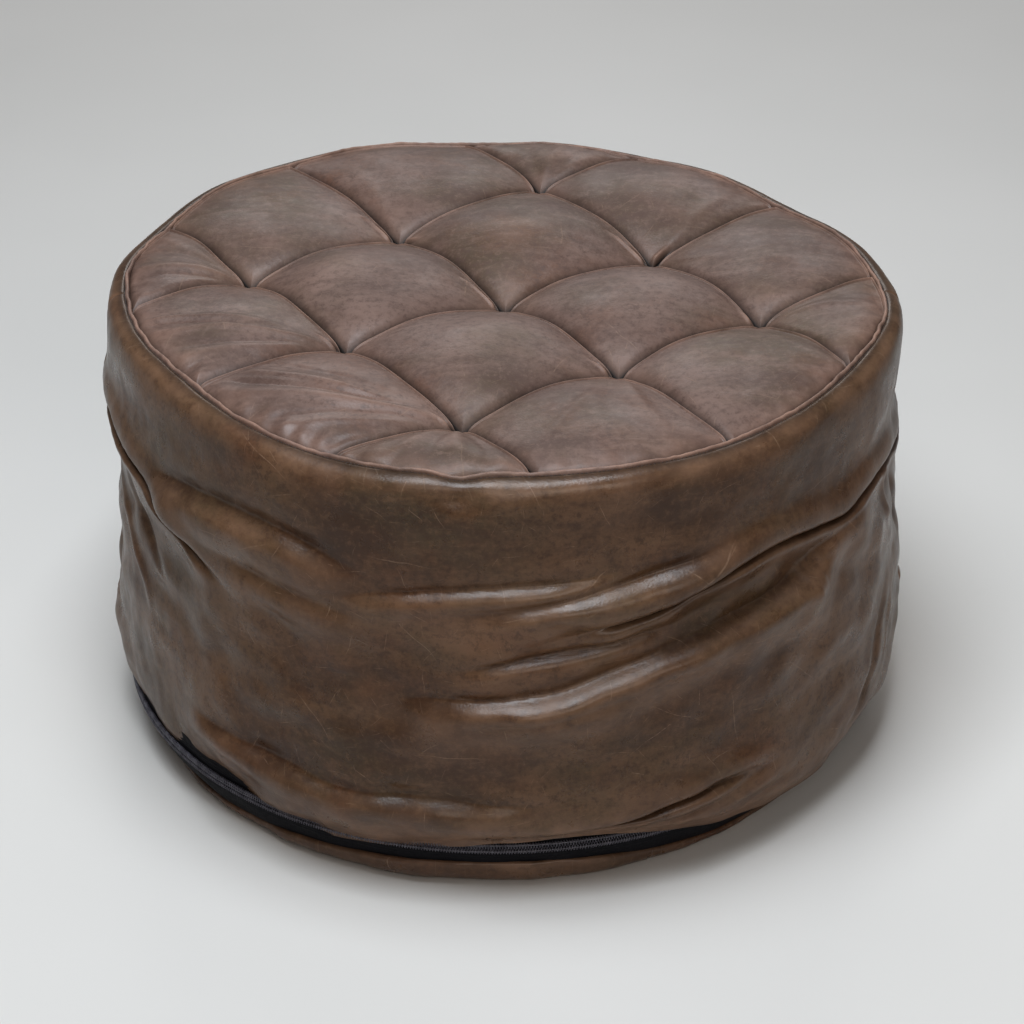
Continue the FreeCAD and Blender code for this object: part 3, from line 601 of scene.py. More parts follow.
def panel_surface(i, j):
    """Grid of one panel's points, how worn each is, and how much painted shade each gets."""
    t = panel_samples(0.72, PANEL_COUNT)
    corner = [(i, j), (i + 1, j), (i, j + 1), (i + 1, j + 1)]
    bottom, top = edge_line(corner[0], corner[1], t), edge_line(corner[2], corner[3], t)
    left, right = edge_line(corner[0], corner[2], t), edge_line(corner[1], corner[3], t)
    a, b = np.meshgrid(t, t, indexing="xy")
    a, b = a[..., None], b[..., None]
    across = (1 - b) * bottom[None] + b * top[None]
    along = (1 - a) * left[:, None] + a * right[:, None]
    pinned = (1 - b) * ((1 - a) * bottom[0] + a * bottom[-1]) + b * ((1 - a) * top[0] + a * top[-1])
    surface = across + along - pinned
    a, b = a[..., 0], b[..., 0]
    surface[..., 2] += BILLOW * (16 * a * (1 - a) * b * (1 - b)) ** 0.6
    edges = [np.linalg.norm((surface - line)[..., :2], axis=-1)
             for line in (left[:, None], bottom[None], right[:, None], top[None])]
    gap = np.minimum.reduce(edges)
    tucked, lapping = np.minimum(*edges[:2]), np.minimum(*edges[2:])
    tufts = [grid_point(*c) for c in corner if RIM_LINES not in (abs(c[0]), abs(c[1]))]
    reach = np.minimum.reduce([np.hypot(surface[..., 0] - p[0], surface[..., 1] - p[1]) for p in tufts])
    flat = surface.reshape(-1, 3)
    relief = pulled_relief(flat[:, 0], flat[:, 1])
    relief += 0.9 * ripple(flat, 95, 11) + 0.22 * ripple(flat, 34, 12) + 0.05 * ripple(flat, 13, 13)
    relief = relief.reshape(gap.shape) * ease(0, 12, gap)
    pleats = pleat_relief(flat[:, 0], flat[:, 1]).reshape(gap.shape) * ease(0.8, 2.5, gap)
    surface[..., 2] += relief + pleats
    surface[..., 2] -= 4.4 * np.exp(-reach / 9) + 1.2 * bell(gap, 10) * ease(6, 30, reach)
    surface[..., 2] += 1.8 * bell(lapping - 2.1, 1.1) - 3.0 * bell(tucked, 4.5)
    rolled = np.clip(1 - gap / ROLL, 0, 1)
    surface[..., 2] -= ROLL * (1 - np.sqrt(1 - rolled**2))
    middle = flat.mean(axis=0)
    inward = middle[:2] - surface[..., :2]
    inward /= np.maximum(np.linalg.norm(inward, axis=-1, keepdims=True), 1e-6)
    surface[..., :2] += SEAM_GAP * bell(gap, 2.0)[..., None] * inward
    worn = 0.75 * bell(lapping - 1.8, 1.1) + 0.12 * bell(gap, 8) + 0.65 * np.exp(-reach / 15)
    worn += 0.3 * np.clip(relief / 3, 0, 1) + 0.5 * np.clip(pleats / 2, 0, 1)
    rim_side = rim_radius(np.degrees(np.arctan2(surface[..., 1], surface[..., 0]))) - np.hypot(
        surface[..., 0], surface[..., 1])
    worn += 0.30 * bell(rim_side, 16)
    # Painted shade: dark lines in the seams, shade on the tucked side, in the pleat grooves and in the tuft
    # dimples.
    crease_shade = bell(gap, 1.1) + 0.70 * bell(tucked, 3.6) + 0.18 * bell(gap, 6) + 0.6 * np.clip(-pleats / 2, 0, 1)
    crease_shade += 0.40 * np.exp(-reach / 6)
    return surface, worn, crease_shade


def with_skirt(surface, worn, crease_shade, drop):
    """The grid with one more ring of points round it, straight below its edge."""
    taller = np.pad(surface, ((1, 1), (1, 1), (0, 0)), mode="edge")
    inner = np.zeros(taller.shape[:2], bool)
    inner[1:-1, 1:-1] = True
    taller[~inner, 2] -= drop
    return taller, np.pad(worn, 1, mode="edge"), np.pad(crease_shade, 1, mode="edge")


def top_panels():
    """One visual panel for each of the sixteen leather panels of the top."""
    cells = [(i, j) for j in (-2, -1, 0, 1) for i in (-2, -1, 0, 1)]
    counts = {"center": 0, "edge": 0, "corner": 0}
    for i, j in cells:
        kind = ("center", "edge", "corner")[(i in (-2, 1)) + (j in (-2, 1))]
        counts[kind] += 1
        node = f"top_panel_{kind}_{counts[kind]}"
        surface, worn, crease_shade = with_skirt(*panel_surface(i, j), SKIRT)
        rows, columns = worn.shape
        piece = mesh_piece(f"leather_{node}", surface.reshape(-1, 3), grid_quads(rows, columns), LIT_TOP_LEATHER,
                           wear=worn.ravel(), crease_shade=crease_shade.ravel())
        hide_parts(node)


def rim_lip():
    """The seam allowance standing up round the rim, a thin folded lip that leans to and fro."""
    az = np.linspace(-180, 180, 1500, endpoint=False)
    radius, height = rim_radius(az), rim_height(az)
    ring = ring_points(az, radius, height)
    lean = 0.6 * ripple(ring, 34, 21) + 0.3 * ripple(ring, 10, 22)
    lift = 0.5 * ripple(ring, 45, 23) + 0.2 * ripple(ring, 8, 24)
    # The lip's outline: out from the seam, and up.
    outline = np.array([(-1.9, -4.0), (-1.8, -1.2), (-1.7, 0.6), (-1.3, 1.7), (-0.6, 2.4), (0.1, 2.5),
                        (0.8, 2.2), (1.3, 1.5), (1.6, 0.6), (1.8, -0.8), (1.9, -4.0)])
    rows = []
    for out, up in outline:
        tip = np.clip((up + 4) / 5, 0, 1)
        rows.append(ring_points(az, radius + out + lean * tip, height + up + lift * tip))
    points = np.vstack(rows)
    worn = np.repeat(0.20 + 0.6 * np.clip(outline[:, 1] / 2.4, 0, 1) ** 2, len(az))
    piece = mesh_piece("rim_lip", points, grid_quads(len(rows), len(az), ring=True), LIT_TOP_LEATHER, wear=worn)
    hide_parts("rim_welt")


def stitch(start, end, up):
    """One stitch of thread that rises out of the leather, runs on and goes back in."""
    radius, lift = 0.32, 0.35
    along = np.array([0.0, 0.12, 0.35, 0.65, 0.88, 1.0])[:, None]
    rise = np.array([-0.7, 0.1, 1.0, 1.0, 0.1, -0.7])[:, None]
    return tube(start + (end - start) * along + up * lift * rise, radius, sides=6)


def rim_topstitching():
    """Stitches through the lip's foot, just outside the rim seam."""
    pitch, length = 2.9, 2.2
    count = int(2 * np.pi * RIM_R / pitch)
    az = np.linspace(-180, 180, count, endpoint=False)
    reach = 360 * length / (2 * np.pi * RIM_R)
    out = 2.1
    parts = []
    for a in az:
        ends = [ring_points(b, rim_radius(b) + out, rim_height(b) - 0.1) for b in (a, a + reach)]
        parts.append(stitch(*ends, ring_points(a, 0.6, 0.8)))
    points, faces = joined(parts)
    piece = mesh_piece("rim_topstitching", points, faces, THREAD)
    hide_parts("rim_stitching")


# --- The side band ---------------------------------------------------------------------------------------

# The band's section from its rolled top edge to its hem: out from the rim seam, and down from it.
SIDE_SECTION = smooth_path([
    (1.5, 4.5), (1.7, 0.8), (2.6, -0.3), (6.0, 0.3), (10.0, 2.2), (13.0, 5.6), (14.9, 11),
    (15.8, 19), (15.8, 35), (14.8, 62), (13.2, 88), (12.4, 103), (14.2, 124), (17.6, 158),
    (20.6, 198), (22.6, 234), (22.4, 258), (19.0, 276), (14.0, 286), (11.5, 291)], 14)
SIDE_STEP = 1.65             # between the mesh's rows
SIDE_REACH = 16.0            # about how far the band stands out from the rim seam
SIDE_LEAN = 7.0              # the slack lower part hangs this far to +X
# How much of the rim's waves each depth keeps.
WAVE_DEPTHS, WAVE_SHARES = (0, 30, 95, 290), (1.0, 0.85, 0.45, 0.30)

# A lap is a crease with slack leather rolling out under it. Its places are (angle, height over the floor),
# then come, in mm: the crease's depth, how far the leather rolls out below it and above it, how far from
# the crease those rolls are, and how far the leather above hangs down over it.
LAPS = (
    # the crease under the top pad: left, back, and right round to the front
    (((-128, 206), (-136, 220), (-141, 234), (-149, 249), (-157, 256), (-165, 261), (-174, 265), (-187, 262),
      (-200, 255), (-212, 250)), 5.0, 6.0, 3.0, 8.0, 7.0),
    (((156, 252), (144, 243), (130, 240), (118, 248), (104, 252), (92, 244), (80, 232)),
     3.0, 7.0, 3.0, 9.0, 4.0),
    (((96, 258), (82, 250), (66, 240), (50, 238), (36, 246), (22, 252), (12, 248)), 3.0, 7.0, 3.0, 9.0, 5.0),
    (((20, 246), (6, 242), (-8, 241), (-18, 248), (-26, 247), (-33, 243), (-40, 248), (-47, 253), (-56, 253),
      (-63, 245), (-67, 237), (-76, 225), (-84, 214)), 7.0, 7.0, 4.0, 8.0, 8.0),
    # left of the front
    (((-158, 256), (-150, 264), (-140, 273), (-130, 277), (-121, 275), (-112, 265), (-103, 250)),
     2.0, 10.0, 1.0, 17.0, 0.0),
    (((-140, 242), (-128, 236), (-116, 230), (-103, 220)), 0.5, 5.0, 0.5, 14.0, 0.0),
    # front: soft rolls that run up to the right
    (((-118, 236), (-108, 243), (-98, 251), (-89, 256), (-80, 259), (-68, 268)), 0.5, 8.0, 1.0, 10.0, 0.0),
    (((-100, 232), (-88, 240), (-79, 248), (-70, 256), (-61, 264), (-48, 275)), 1.0, 9.0, 1.5, 10.0, 0.0),
    (((-102, 184), (-89, 198), (-78, 206), (-69, 214), (-59, 224)), 2.0, 4.5, 2.0, 8.0, 1.0),
    (((-107, 163), (-99, 166), (-91, 170), (-82, 176), (-74, 188), (-65, 199), (-55, 207), (-45, 214),
      (-32, 222)), 0.5, 14.0, 0.5, 11.5, 0.0),
    (((-100, 148), (-86, 156), (-74, 168), (-62, 181)), 0.3, 3.0, 0.5, 11.0, 0.0),
    # right, below the deep crease
    (((-50, 208), (-40, 228), (-31, 233), (-20, 236)), 0.5, 7.0, 0.0, 15.0, 0.0),
    # low front: the bulge over the zip, and the fold that laps over it
    (((-146, 100), (-133, 92), (-121, 88), (-111, 83), (-101, 86), (-90, 84), (-76, 88)),
     0.3, 9.0, 0.5, 14.0, 0.0),
    (((-97, 48), (-88, 51), (-79, 56), (-71, 63), (-64, 72), (-55, 76), (-47, 72)), 3.5, 5.5, 3.0, 7.0, 4.0),
    (((-80, 44), (-72, 47), (-64, 55), (-56, 60)), 0.5, 4.0, 0.5, 6.0, 0.0),
    # the back: slack that sags the same way
    (((56, 219), (70, 207), (86, 202), (102, 212)), 1.0, 8.0, 1.0, 12.0, 0.0),
    (((108, 228), (124, 211), (140, 206), (156, 218)), 1.0, 8.5, 1.0, 12.0, 0.0),
    (((96, 182), (112, 175), (130, 164), (148, 160)), 0.5, 4.0, 1.0, 11.0, 0.0),
    (((20, 228), (34, 212), (50, 198), (66, 192)), 1.0, 8.5, 1.0, 12.0, 0.0),
    (((6, 190), (22, 172), (44, 160)), 0.5, 4.0, 1.0, 11.0, 0.0),
    (((64, 98), (84, 88), (106, 84), (130, 92)), 0.3, 7.0, 0.5, 13.0, 0.0),
    (((144, 108), (162, 96), (180, 90), (200, 98)), 0.3, 7.0, 0.5, 13.0, 0.0),
    (((-12, 110), (6, 96), (26, 88), (48, 96)), 0.3, 7.0, 0.5, 13.0, 0.0),
)
# A wrinkle is (places, height, half width) in the same measures. A negative height is a groove.
WRINKLES = (
    (((-41.5, 236), (-40, 214), (-38, 192)), -1.6, 3.0), (((-45, 232), (-42.5, 210), (-41, 186)), 1.8, 3.5),
    (((-20, 248), (-18.5, 220), (-16, 180)), 3.0, 4.5), (((-13, 240), (-10, 200), (-8, 150)), -3.0, 6.0),
    (((-18, 156), (-22, 110), (-26, 76), (-33, 48)), -3.0, 5.0),
    (((-14, 146), (-17, 100), (-20, 62)), 3.0, 6.0),
    (((-171, 240), (-168, 204), (-163, 186), (-156, 158), (-152, 128)), 3.0, 5.0),
    (((-163, 246), (-160, 222), (-154, 196), (-146, 172)), -3.0, 5.5),
    (((-178, 252), (-177, 205), (-173, 160), (-166, 110)), -3.0, 6.0),
    (((-58, 92), (-50, 84), (-42, 72)), 2.0, 8.0), (((-128, 226), (-121, 200), (-117, 170)), -1.0, 9.0),
    (((-70, 50), (-62, 56), (-52, 70), (-46, 78)), -1.6, 3.0), (((-62, 44), (-54, 56), (-46, 64)), 1.8, 4.0),
    (((-56, 38), (-49, 48), (-42, 58)), -1.4, 4.0), (((-90, 214), (-82, 222), (-76, 228)), 1.5, 6.0),
)


FADED_REACH = 2.0            # how much wider a fold is where it fades out at its ends
ROLL_SOFTNESS = 1.5          # 1 starts a roll sharply at its crease, and 2 starts it flat


def shallow_roll(distance):
    """0 at and before 0, rising steeply to 1 at 1 and easing away beyond."""
    d = np.clip(distance, 0, 12)
    return (d * np.exp(1 - d)) ** ROLL_SOFTNESS


def fold_frame(places, az, z, margin):
    """Which points are near a fold, how far above it those are, and how much of the fold is there."""
    angles = np.array([place[0] for place in places], float)
    heights = [place[1] for place in places]
    middle = (angles.max() + angles.min()) / 2
    swing = (angles.max() - angles.min()) / 2 + margin / 5
    across = (az - middle + 180) % 360 - 180
    near = (np.abs(across) < swing) & (z > min(heights) - margin) & (z < max(heights) + margin)
    per_degree = np.pi / 180 * (RIM_R + SIDE_REACH)
    path = smooth_path([((angle - middle) * per_degree, height) for angle, height in places])
    side, along, length = path_offset(across[near] * per_degree, z[near], path)
    if angles[-1] < angles[0]:
        side = -side
    taper = min(80.0, length / 2.6)
    return near, side, ease(0, taper, along) * (1 - ease(length - taper, length, along))


def side_fold_shift(az, z):
    """How far the folds move the band's leather out and down, and how deep in a crease each point is, which
    sets the painted shade there.
    """
    out, down, crease = np.zeros_like(z), np.zeros_like(z), np.zeros_like(z)
    for places, depth, below, above, reach, overhang in LAPS:
        near, side, kept = fold_frame(places, az, z, 6 * reach)
        reach_here = reach * (FADED_REACH - (FADED_REACH - 1) * kept)
        shift = below * shallow_roll(-side / reach_here) + above * shallow_roll(side / reach_here)
        out[near] += kept * shift - kept**2 * depth * bell(side, 0.5 * reach_here)
        crease[near] += kept**2 * np.clip((depth + overhang) / 12, 0, 1) * bell(side, 0.45 * reach)
        down[near] += overhang * kept * bell(side - 0.5 * reach, 0.8 * reach)
        out[near] += 0.4 * overhang * kept * bell(side - reach, reach)
    for places, height, width in WRINKLES:
        near, side, kept = fold_frame(places, az, z, 3 * width)
        out[near] += height * kept * bell(side, width)
    return out, down, crease


def band_shift(az, depth):
    """How far the rim's waves and the lean to +X move the band out, at a depth below the rim seam."""
    wave = rim_wave(az) * np.interp(depth, WAVE_DEPTHS, WAVE_SHARES)
    return wave + SIDE_LEAN * ease(60, 170, depth) * np.cos(np.radians(az))


def side_surface(az, section):
    """Points of the band's leather: for each place on its section, a ring of angles."""
    depth = section[:, 1][:, None] * np.ones_like(az)[None]
    out = section[:, 0][:, None] * np.ones_like(az)[None]
    angle = np.ones_like(section[:, 0])[:, None] * az[None]
    pull = (rim_radius(angle) - RIM_R - rim_wave(angle)) * bell(depth, 20)
    radius = RIM_R + out + band_shift(angle, depth) + pull
    level = rim_height(angle) * (1 - ease(0, 60, depth)) + RIM_Z * ease(0, 60, depth)
    stretch = ease(190, section[-1, 1], depth) * (hem_height(angle) - (RIM_Z - section[-1, 1]))
    z = level - depth + stretch
    flat_az, flat_z = angle.ravel(), z.ravel()
    pushed, dropped, crease = side_fold_shift(flat_az, flat_z)
    near_rim = ease(6, 40, depth.ravel())
    near_hem = 1 - ease(268, 291, depth.ravel()) * 0.7
    skin = ring_points(flat_az, radius.ravel(), flat_z)
    loose = ease(70, 130, depth.ravel())
    rough = (1.1 + 1.5 * loose) * ripple(skin * [1, 1, 1.9], 120, 31)
    rough += (0.35 + 0.75 * loose) * ripple(skin * [1, 1, 1.6], 46, 32) + 0.16 * ripple(skin, 17, 33)
    crimp = ripple(skin, 40, 36) - np.cos(SEAM_ENDS * np.radians(flat_az - SEAM_END_AT))
    dimple = 4.5 * rim_pull(flat_az) * bell(depth.ravel() - 9, 9) + 0.5 * crimp * bell(depth.ravel() - 8, 12)
    final = radius.ravel() + pushed * near_rim * near_hem + rough * near_rim - dimple
    points = ring_points(flat_az, final, flat_z - dropped * near_hem)
    worn = 0.30 * np.clip(pushed / 6, 0, 1) + 0.42 * bell(depth.ravel() - 5, 9)
    worn += 0.35 * bell(depth.ravel() - 282, 14) + 0.12 * np.clip(ripple(skin, 60, 35), 0, 1)
    # Painted shade in the fold creases and in the groove under the rim lip.
    crease_shade = 0.7 * crease + 0.6 * bell(depth.ravel() + 1, 2.0)
    shape = (len(section), len(az))
    return points.reshape(*shape, 3), worn.reshape(shape), crease_shade.reshape(shape)


# The hem's height over the floor. At the back it clears the slider, and elsewhere it sags over the zip.
HEM_PLACES = ((-170, 30), (-143, 29), (-119, 30), (-111, 31), (-101, 37), (-92, 44), (-81, 50), (-69, 43),
              (-60, 33), (-49, 27), (-40, 26), (-32, 30), (-15, 33), (15, 34), (38, HEM_Z), (62, HEM_Z),
              (90, HEM_Z - 3), (118, HEM_Z), (142, HEM_Z), (160, 34))


def hem_height(az):
    return around(az, HEM_PLACES)


def even_section(section, step):
    """The section resampled at an even step."""
    run = np.concatenate([[0], np.cumsum(np.linalg.norm(np.diff(section, axis=0), axis=1))])
    at = np.linspace(0, run[-1], int(run[-1] / step) + 1)
    return np.stack([np.interp(at, run, section[:, k]) for k in (0, 1)], axis=-1)


def side_panels():
    """The two halves of the band, sewn at upright seams at the left and right."""
    section = even_section(SIDE_SECTION, SIDE_STEP)
    side_seam_threads(section)
    for node, start in (("side_panel_back", 0.0), ("side_panel_front", -180.0)):
        az = np.linspace(start, start + 180, 520)
        points, worn, crease_shade = side_surface(az, section)
        seam_gap = np.minimum(az - az[0], az[-1] - az) * np.pi / 180 * RIM_R
        tuck = 2.2 * np.clip(1 - seam_gap / 2.6, 0, 1) ** 2
        points[..., :2] *= 1 - (tuck / RIM_R)[None, :, None]
        points, worn, crease_shade = hem_fold(points, worn, crease_shade)
        rows, columns = worn.shape
        worn = worn + 0.4 * bell(seam_gap, 5)[None]
        hide = np.stack(np.meshgrid(np.radians(az) * RIM_R, np.arange(rows) * SIDE_STEP), axis=-1)
        piece = mesh_piece(f"leather_{node}", points.reshape(-1, 3), grid_quads(rows, columns)[:, ::-1],
                           SHADED_SIDE_LEATHER, wear=worn.ravel(), skin=hide.reshape(-1, 2), crease_shade=crease_shade.ravel())
        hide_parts(node)


def hem_fold(points, worn, crease_shade):
    """The hem turned under: the last ring goes round a small radius and back up inside."""
    edge = points[-1]
    az = np.arctan2(edge[:, 1], edge[:, 0])
    outward = np.stack([np.cos(az), np.sin(az), np.zeros_like(az)], axis=-1)
    rings = []
    for phase in (30, 60, 90, 120, 150, 180):
        c, s = np.cos(np.radians(phase)), np.sin(np.radians(phase))
        rings.append(edge + outward * (-1.3 * (1 - c)) + [0, 0, -1.3 * s])
    rings.append(rings[-1] + [0, 0, 9.0])
    points = np.concatenate([points, np.array(rings)])
    worn, crease_shade = (np.concatenate([each, np.repeat(each[-1:], len(rings), axis=0)]) for each in (worn, crease_shade))
    return points, worn, crease_shade


# --- Base, zip and hinge ---------------------------------------------------------------------------------

# The base's rolled edge: its height, and how far it stands inside the CAD base's edge. It is high and full at
# the front and back, and tucked under elsewhere.
BASE_EDGE_PLACES = ((-180, 6), (-150, 6), (-135, 8), (-125, 13), (-110, 18), (-95, 21), (-80, 21), (-70, 17),
                    (-62, 11), (-50, 6), (0, 6), (40, 8), (58, 18), (72, 21), (108, 21), (122, 18), (140, 8))
BASE_TUCK_PLACES = ((-180, 14), (-150, 13), (-135, 10), (-120, 4), (-105, 1), (-80, 1), (-68, 4), (-58, 9),
                    (-45, 13), (0, 14), (40, 10), (60, 2), (120, 2), (140, 10))


def base_edge_height(az):
    return around(az, BASE_EDGE_PLACES)


def base_edge_radius(az):
    return BASE_EDGE_R - 1 - around(az, BASE_TUCK_PLACES)


def base_panel():
    """The flat leather base and its rolled edge, with a folded lip along the zip tape."""
    az = np.linspace(-180, 180, 900, endpoint=False)
    edge, full = base_edge_height(az), base_edge_radius(az)
    curl = 19.0
    rows = []
    for share in (0.002, 0.2, 0.4, 0.6, 0.75, 0.88, 0.96, 1.0):
        rows.append(ring_points(az, share * (full - curl), 0.0))
    for phase in np.linspace(8, 90, 14):
        c, s = np.cos(np.radians(phase)), np.sin(np.radians(phase))
        rows.append(ring_points(az, full - curl + curl * s, edge * (1 - c)))
    bead = 2.6
    for phase in (30, 60, 90, 120, 150, 180):
        c, s = np.cos(np.radians(phase)), np.sin(np.radians(phase))
        rows.append(ring_points(az, full - bead * (1 - c), edge + bead * s))
    rows.append(ring_points(az, full - 2 * bead, edge - 6))
    points = np.array(rows)
    flat = points.reshape(-1, 3)
    r = np.hypot(flat[:, 0], flat[:, 1])
    swell = ease(BASE_EDGE_R - 22, BASE_EDGE_R - 8, r) * (1 - ease(BASE_EDGE_R - 2.5, BASE_EDGE_R - 1, r))
    bump_out = 1.0 * ripple(flat * [1, 1, 0.4], 60, 41) + 0.5 * ripple(flat * [1, 1, 0.4], 22, 42)
    flat[:, :2] *= 1 + (swell * bump_out / BASE_EDGE_R)[:, None]
    worn = 0.45 * bell(flat[:, 2] - BASE_EDGE_Z - 2, 4) + 0.15 * swell
    quads = grid_quads(len(rows), len(az), ring=True)[:, ::-1]
    piece = mesh_piece("leather_base", flat, quads, SHADED_SIDE_LEATHER, body="base_flap", wear=worn)
    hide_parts("base_panel")


def tape_ribbon(name, node, body, foot, low, high):
    """A zip tape: a thin band from radius foot at its low edge, with two woven ribs beside the coil."""
    az = np.linspace(ZIP_START, ZIP_END, 760)
    rows = []
    for share in np.linspace(0, 1, 30):
        z = low(az) + (high(az) - low(az)) * share
        radius = foot(az) + (ZIP_R - 0.1 - foot(az)) * np.sin(share * np.pi / 2)
        from_coil = np.abs(z - ZIP_Z)
        rib = 0.5 * bell(from_coil - 7.2, 0.8) + 0.4 * bell(from_coil - 9.8, 0.8)
        wave = 0.3 * np.sin(np.radians(az) * 31 + 3 * share)
        rows.append(ring_points(az, radius + rib + wave, z))
    inner = [row * [0.9965, 0.9965, 1] for row in rows[::-1]]
    points = np.vstack(rows + inner)
    quads = grid_quads(2 * len(rows), len(az))
    piece = mesh_piece(name, points, quads, TAPE, body=body)
    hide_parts(node)


def zip_tapes():
    gap = 1.2
    tape_ribbon("zip_tape_on_base", "zip_tape_lower", "base_flap", lambda az: base_edge_radius(az) - 4.5,
                lambda az: base_edge_height(az) - 2, lambda az: 0 * az + ZIP_Z - gap)
    tape_ribbon("zip_tape_on_band", "zip_tape_upper", "cover", lambda az: 0 * az + ZIP_R - 0.1,
                lambda az: 0 * az + ZIP_Z + gap, lambda az: 0 * az + ZIP_Z + 16)


COIL_PITCH = 2.0
COIL_INSET = 1.6             # the angle between each end of the tapes and the coil, where the stops are


def coil(name, node, body, side):
    """One side of the zip: a nylon helix sewn along the tape's edge."""
    reach = ZIP_END - ZIP_START - 2 * COIL_INSET
    turns = int(np.radians(reach) * ZIP_R / COIL_PITCH)
    steps = 12
    t = np.arange(turns * steps) / steps
    half_turn = np.degrees(0.5 * COIL_PITCH / ZIP_R) if side > 0 else 0.0
    az = ZIP_START + COIL_INSET + t / turns * reach + half_turn
    phase = 2 * np.pi * t
    out = ZIP_R + 1.5 + 1.05 * np.cos(phase)
    up = ZIP_Z + side * (2.15 - 2.05 * np.sin(phase))
    path = ring_points(az, out, 0.0)
    path[:, 2] = up
    points, faces = tube(path, 0.46, sides=5)
    core = ring_points(np.linspace(az[0], az[-1], 700), ZIP_R + 1.4, ZIP_Z + side * 2.6)
    core_points, core_faces = tube(core, 0.75, sides=6)
    points, faces = joined([(points, faces), (core_points, core_faces)])
    piece = mesh_piece(name, points, faces, COIL, body=body)
    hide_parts(node)


def hinge_leather():
    """The leather between the zip's two ends, where the base hinges open; this mesh rides on no body and
    stays put.
    """
    az = np.linspace(69.5, 110.5, 160)
    low, high = base_edge_height(az) - 3, 0 * az + HEM_Z + 4
    rows = []
    for share in np.linspace(0, 1, 32):
        bulge = 1.6 * np.sin(np.pi * share) + 0.5 * bell(share - 0.5, 0.06)
        pucker = 0.35 * np.sin(np.radians(az) * 46 + 4 * share)
        radius = base_edge_radius(az) - 3.0 + (ZIP_R + 0.6 - base_edge_radius(az) + 3.0) * ease(0, 0.4, share)
        rows.append(ring_points(az, radius + bulge + pucker, low + (high - low) * share))
    inner = [row * [0.994, 0.994, 1] for row in rows[::-1]]
    points = np.vstack(rows + inner)
    skin = np.stack([np.tile(np.radians(az) * ZIP_R, 2 * len(rows)), points[:, 2]], axis=-1)
    piece = mesh_piece("leather_hinge", points, grid_quads(2 * len(rows), len(az)), SHADED_SIDE_LEATHER, body=None,
                       wear=np.full(len(points), 0.2), skin=skin)
    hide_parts("hinge_strip")
    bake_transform(piece)


# --- Inside ----------------------------------------------------------------------------------------------

def lathe(outline, count, wobble):
    """A closed round form from (radius, height) points, with a slightly uneven skin."""
    az = np.linspace(-180, 180, count, endpoint=False)
    points = np.vstack([ring_points(az, r, z) for r, z in outline])
    rough = wobble * ripple(points, 90, 51) + 0.4 * wobble * ripple(points * [1, 1, 0.3], 30, 52)
    r = np.hypot(points[:, 0], points[:, 1])
    points[:, :2] *= 1 + (rough * ease(20, 200, r) / np.maximum(r, 1))[:, None]
    return points, grid_quads(len(outline), count, ring=True)[:, ::-1]


INSERT_CLEARANCE = 16.0      # the insert stays this far inside the band's middle line


def stuffed_insert():
    """The insert in its black lining: a full drum with a round seam at top and bottom."""
    low, high = corners_mm("insert_side_cloth")
    radius, floor, top = high[0], low[2], high[2]
    base = [(1, 1.0), (80, 0.8), (160, 0.5), (226, 0.8), (246, 2.5), (249, 2.2), (251, 3.5), (262, 12),
            (270, 24), (275, 36)]
    belly = [(281, 62), (287, 84), (291, 108), (radius - 0.6, 130), (291, 156), (287, 182)]
    lid = [(280, -14), (271, -5), (268.5, -3.2), (266, -3), (230, 0), (160, 1), (80, 1.5), (1, 1.5)]
    outline = [(r, floor + up) for r, up in base] + belly + [(r, top + up) for r, up in lid]
    points, faces = lathe(outline, 220, wobble=0.8)
    az = np.degrees(np.arctan2(points[:, 1], points[:, 0]))
    up = points[:, 2]
    slim = ease(90, 250, np.hypot(points[:, 0], points[:, 1])) * ease(30, 70, up)
    drawn_in = INSERT_CLEARANCE - band_shift(az, RIM_Z - up)
    points[:, :2] *= 1 - (slim * drawn_in / np.maximum(np.hypot(points[:, 0], points[:, 1]), 1))[:, None]
    piece = mesh_piece("stuffed_insert", points, faces, LINING)
    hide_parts("insert_side_cloth", "insert_base_cloth", "insert_top_cloth", "insert_fill")


def quilted_pad():
    """Foam and wadding as one stuffed form that follows the leather from underneath."""
    az = np.linspace(-180, 180, 180, endpoint=False)
    floor = PAD_FLOOR_Z
    rows = [ring_points(az, r, floor) for r in (1, 120, 220, 268, 278)]
    section = [(280, floor + 3), (283, floor + 20), (283, RIM_Z - 40), (280, RIM_Z - 22), (272, RIM_Z - 12)]
    rows += [ring_points(az, r + 0.5 * rim_wave(az), z) for r, z in section]
    for share in np.linspace(0.93, 0.004, 40):
        ring = ring_points(az, share * rim_radius(az), 0.0)
        ring[:, 2] = RIM_Z - 15
        for tuft in TUFT_SHIFTS:
            at = grid_point(*tuft)
            ring[:, 2] -= 17 * bell(np.hypot(ring[:, 0] - at[0], ring[:, 1] - at[1]), 26)
        rows.append(ring)
    quads = grid_quads(len(rows), len(az), ring=True)[:, ::-1]
    piece = mesh_piece("quilted_pad", np.vstack(rows), quads, WADDING)
    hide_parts("top_batting", "top_foam_pad")


def backing():
    """The cloth under the quilted pad, whose edge follows the band's inside."""
    low, high = corners_mm("backing_cloth")
    az = np.linspace(-180, 180, 240, endpoint=False)
    edge = high[0] - 11 + band_shift(az, RIM_Z - low[2])
    outline = [(share, high[2]) for share in (0.01, 0.3, 0.6, 0.9, 1.0)] + \
              [(share, low[2]) for share in (1.0, 0.9, 0.6, 0.3, 0.01)]
    points = np.vstack([ring_points(az, share * edge, z) for share, z in outline])
    piece = mesh_piece("backing", points, grid_quads(len(outline), len(az), ring=True), LINING)
    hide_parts("backing_cloth")


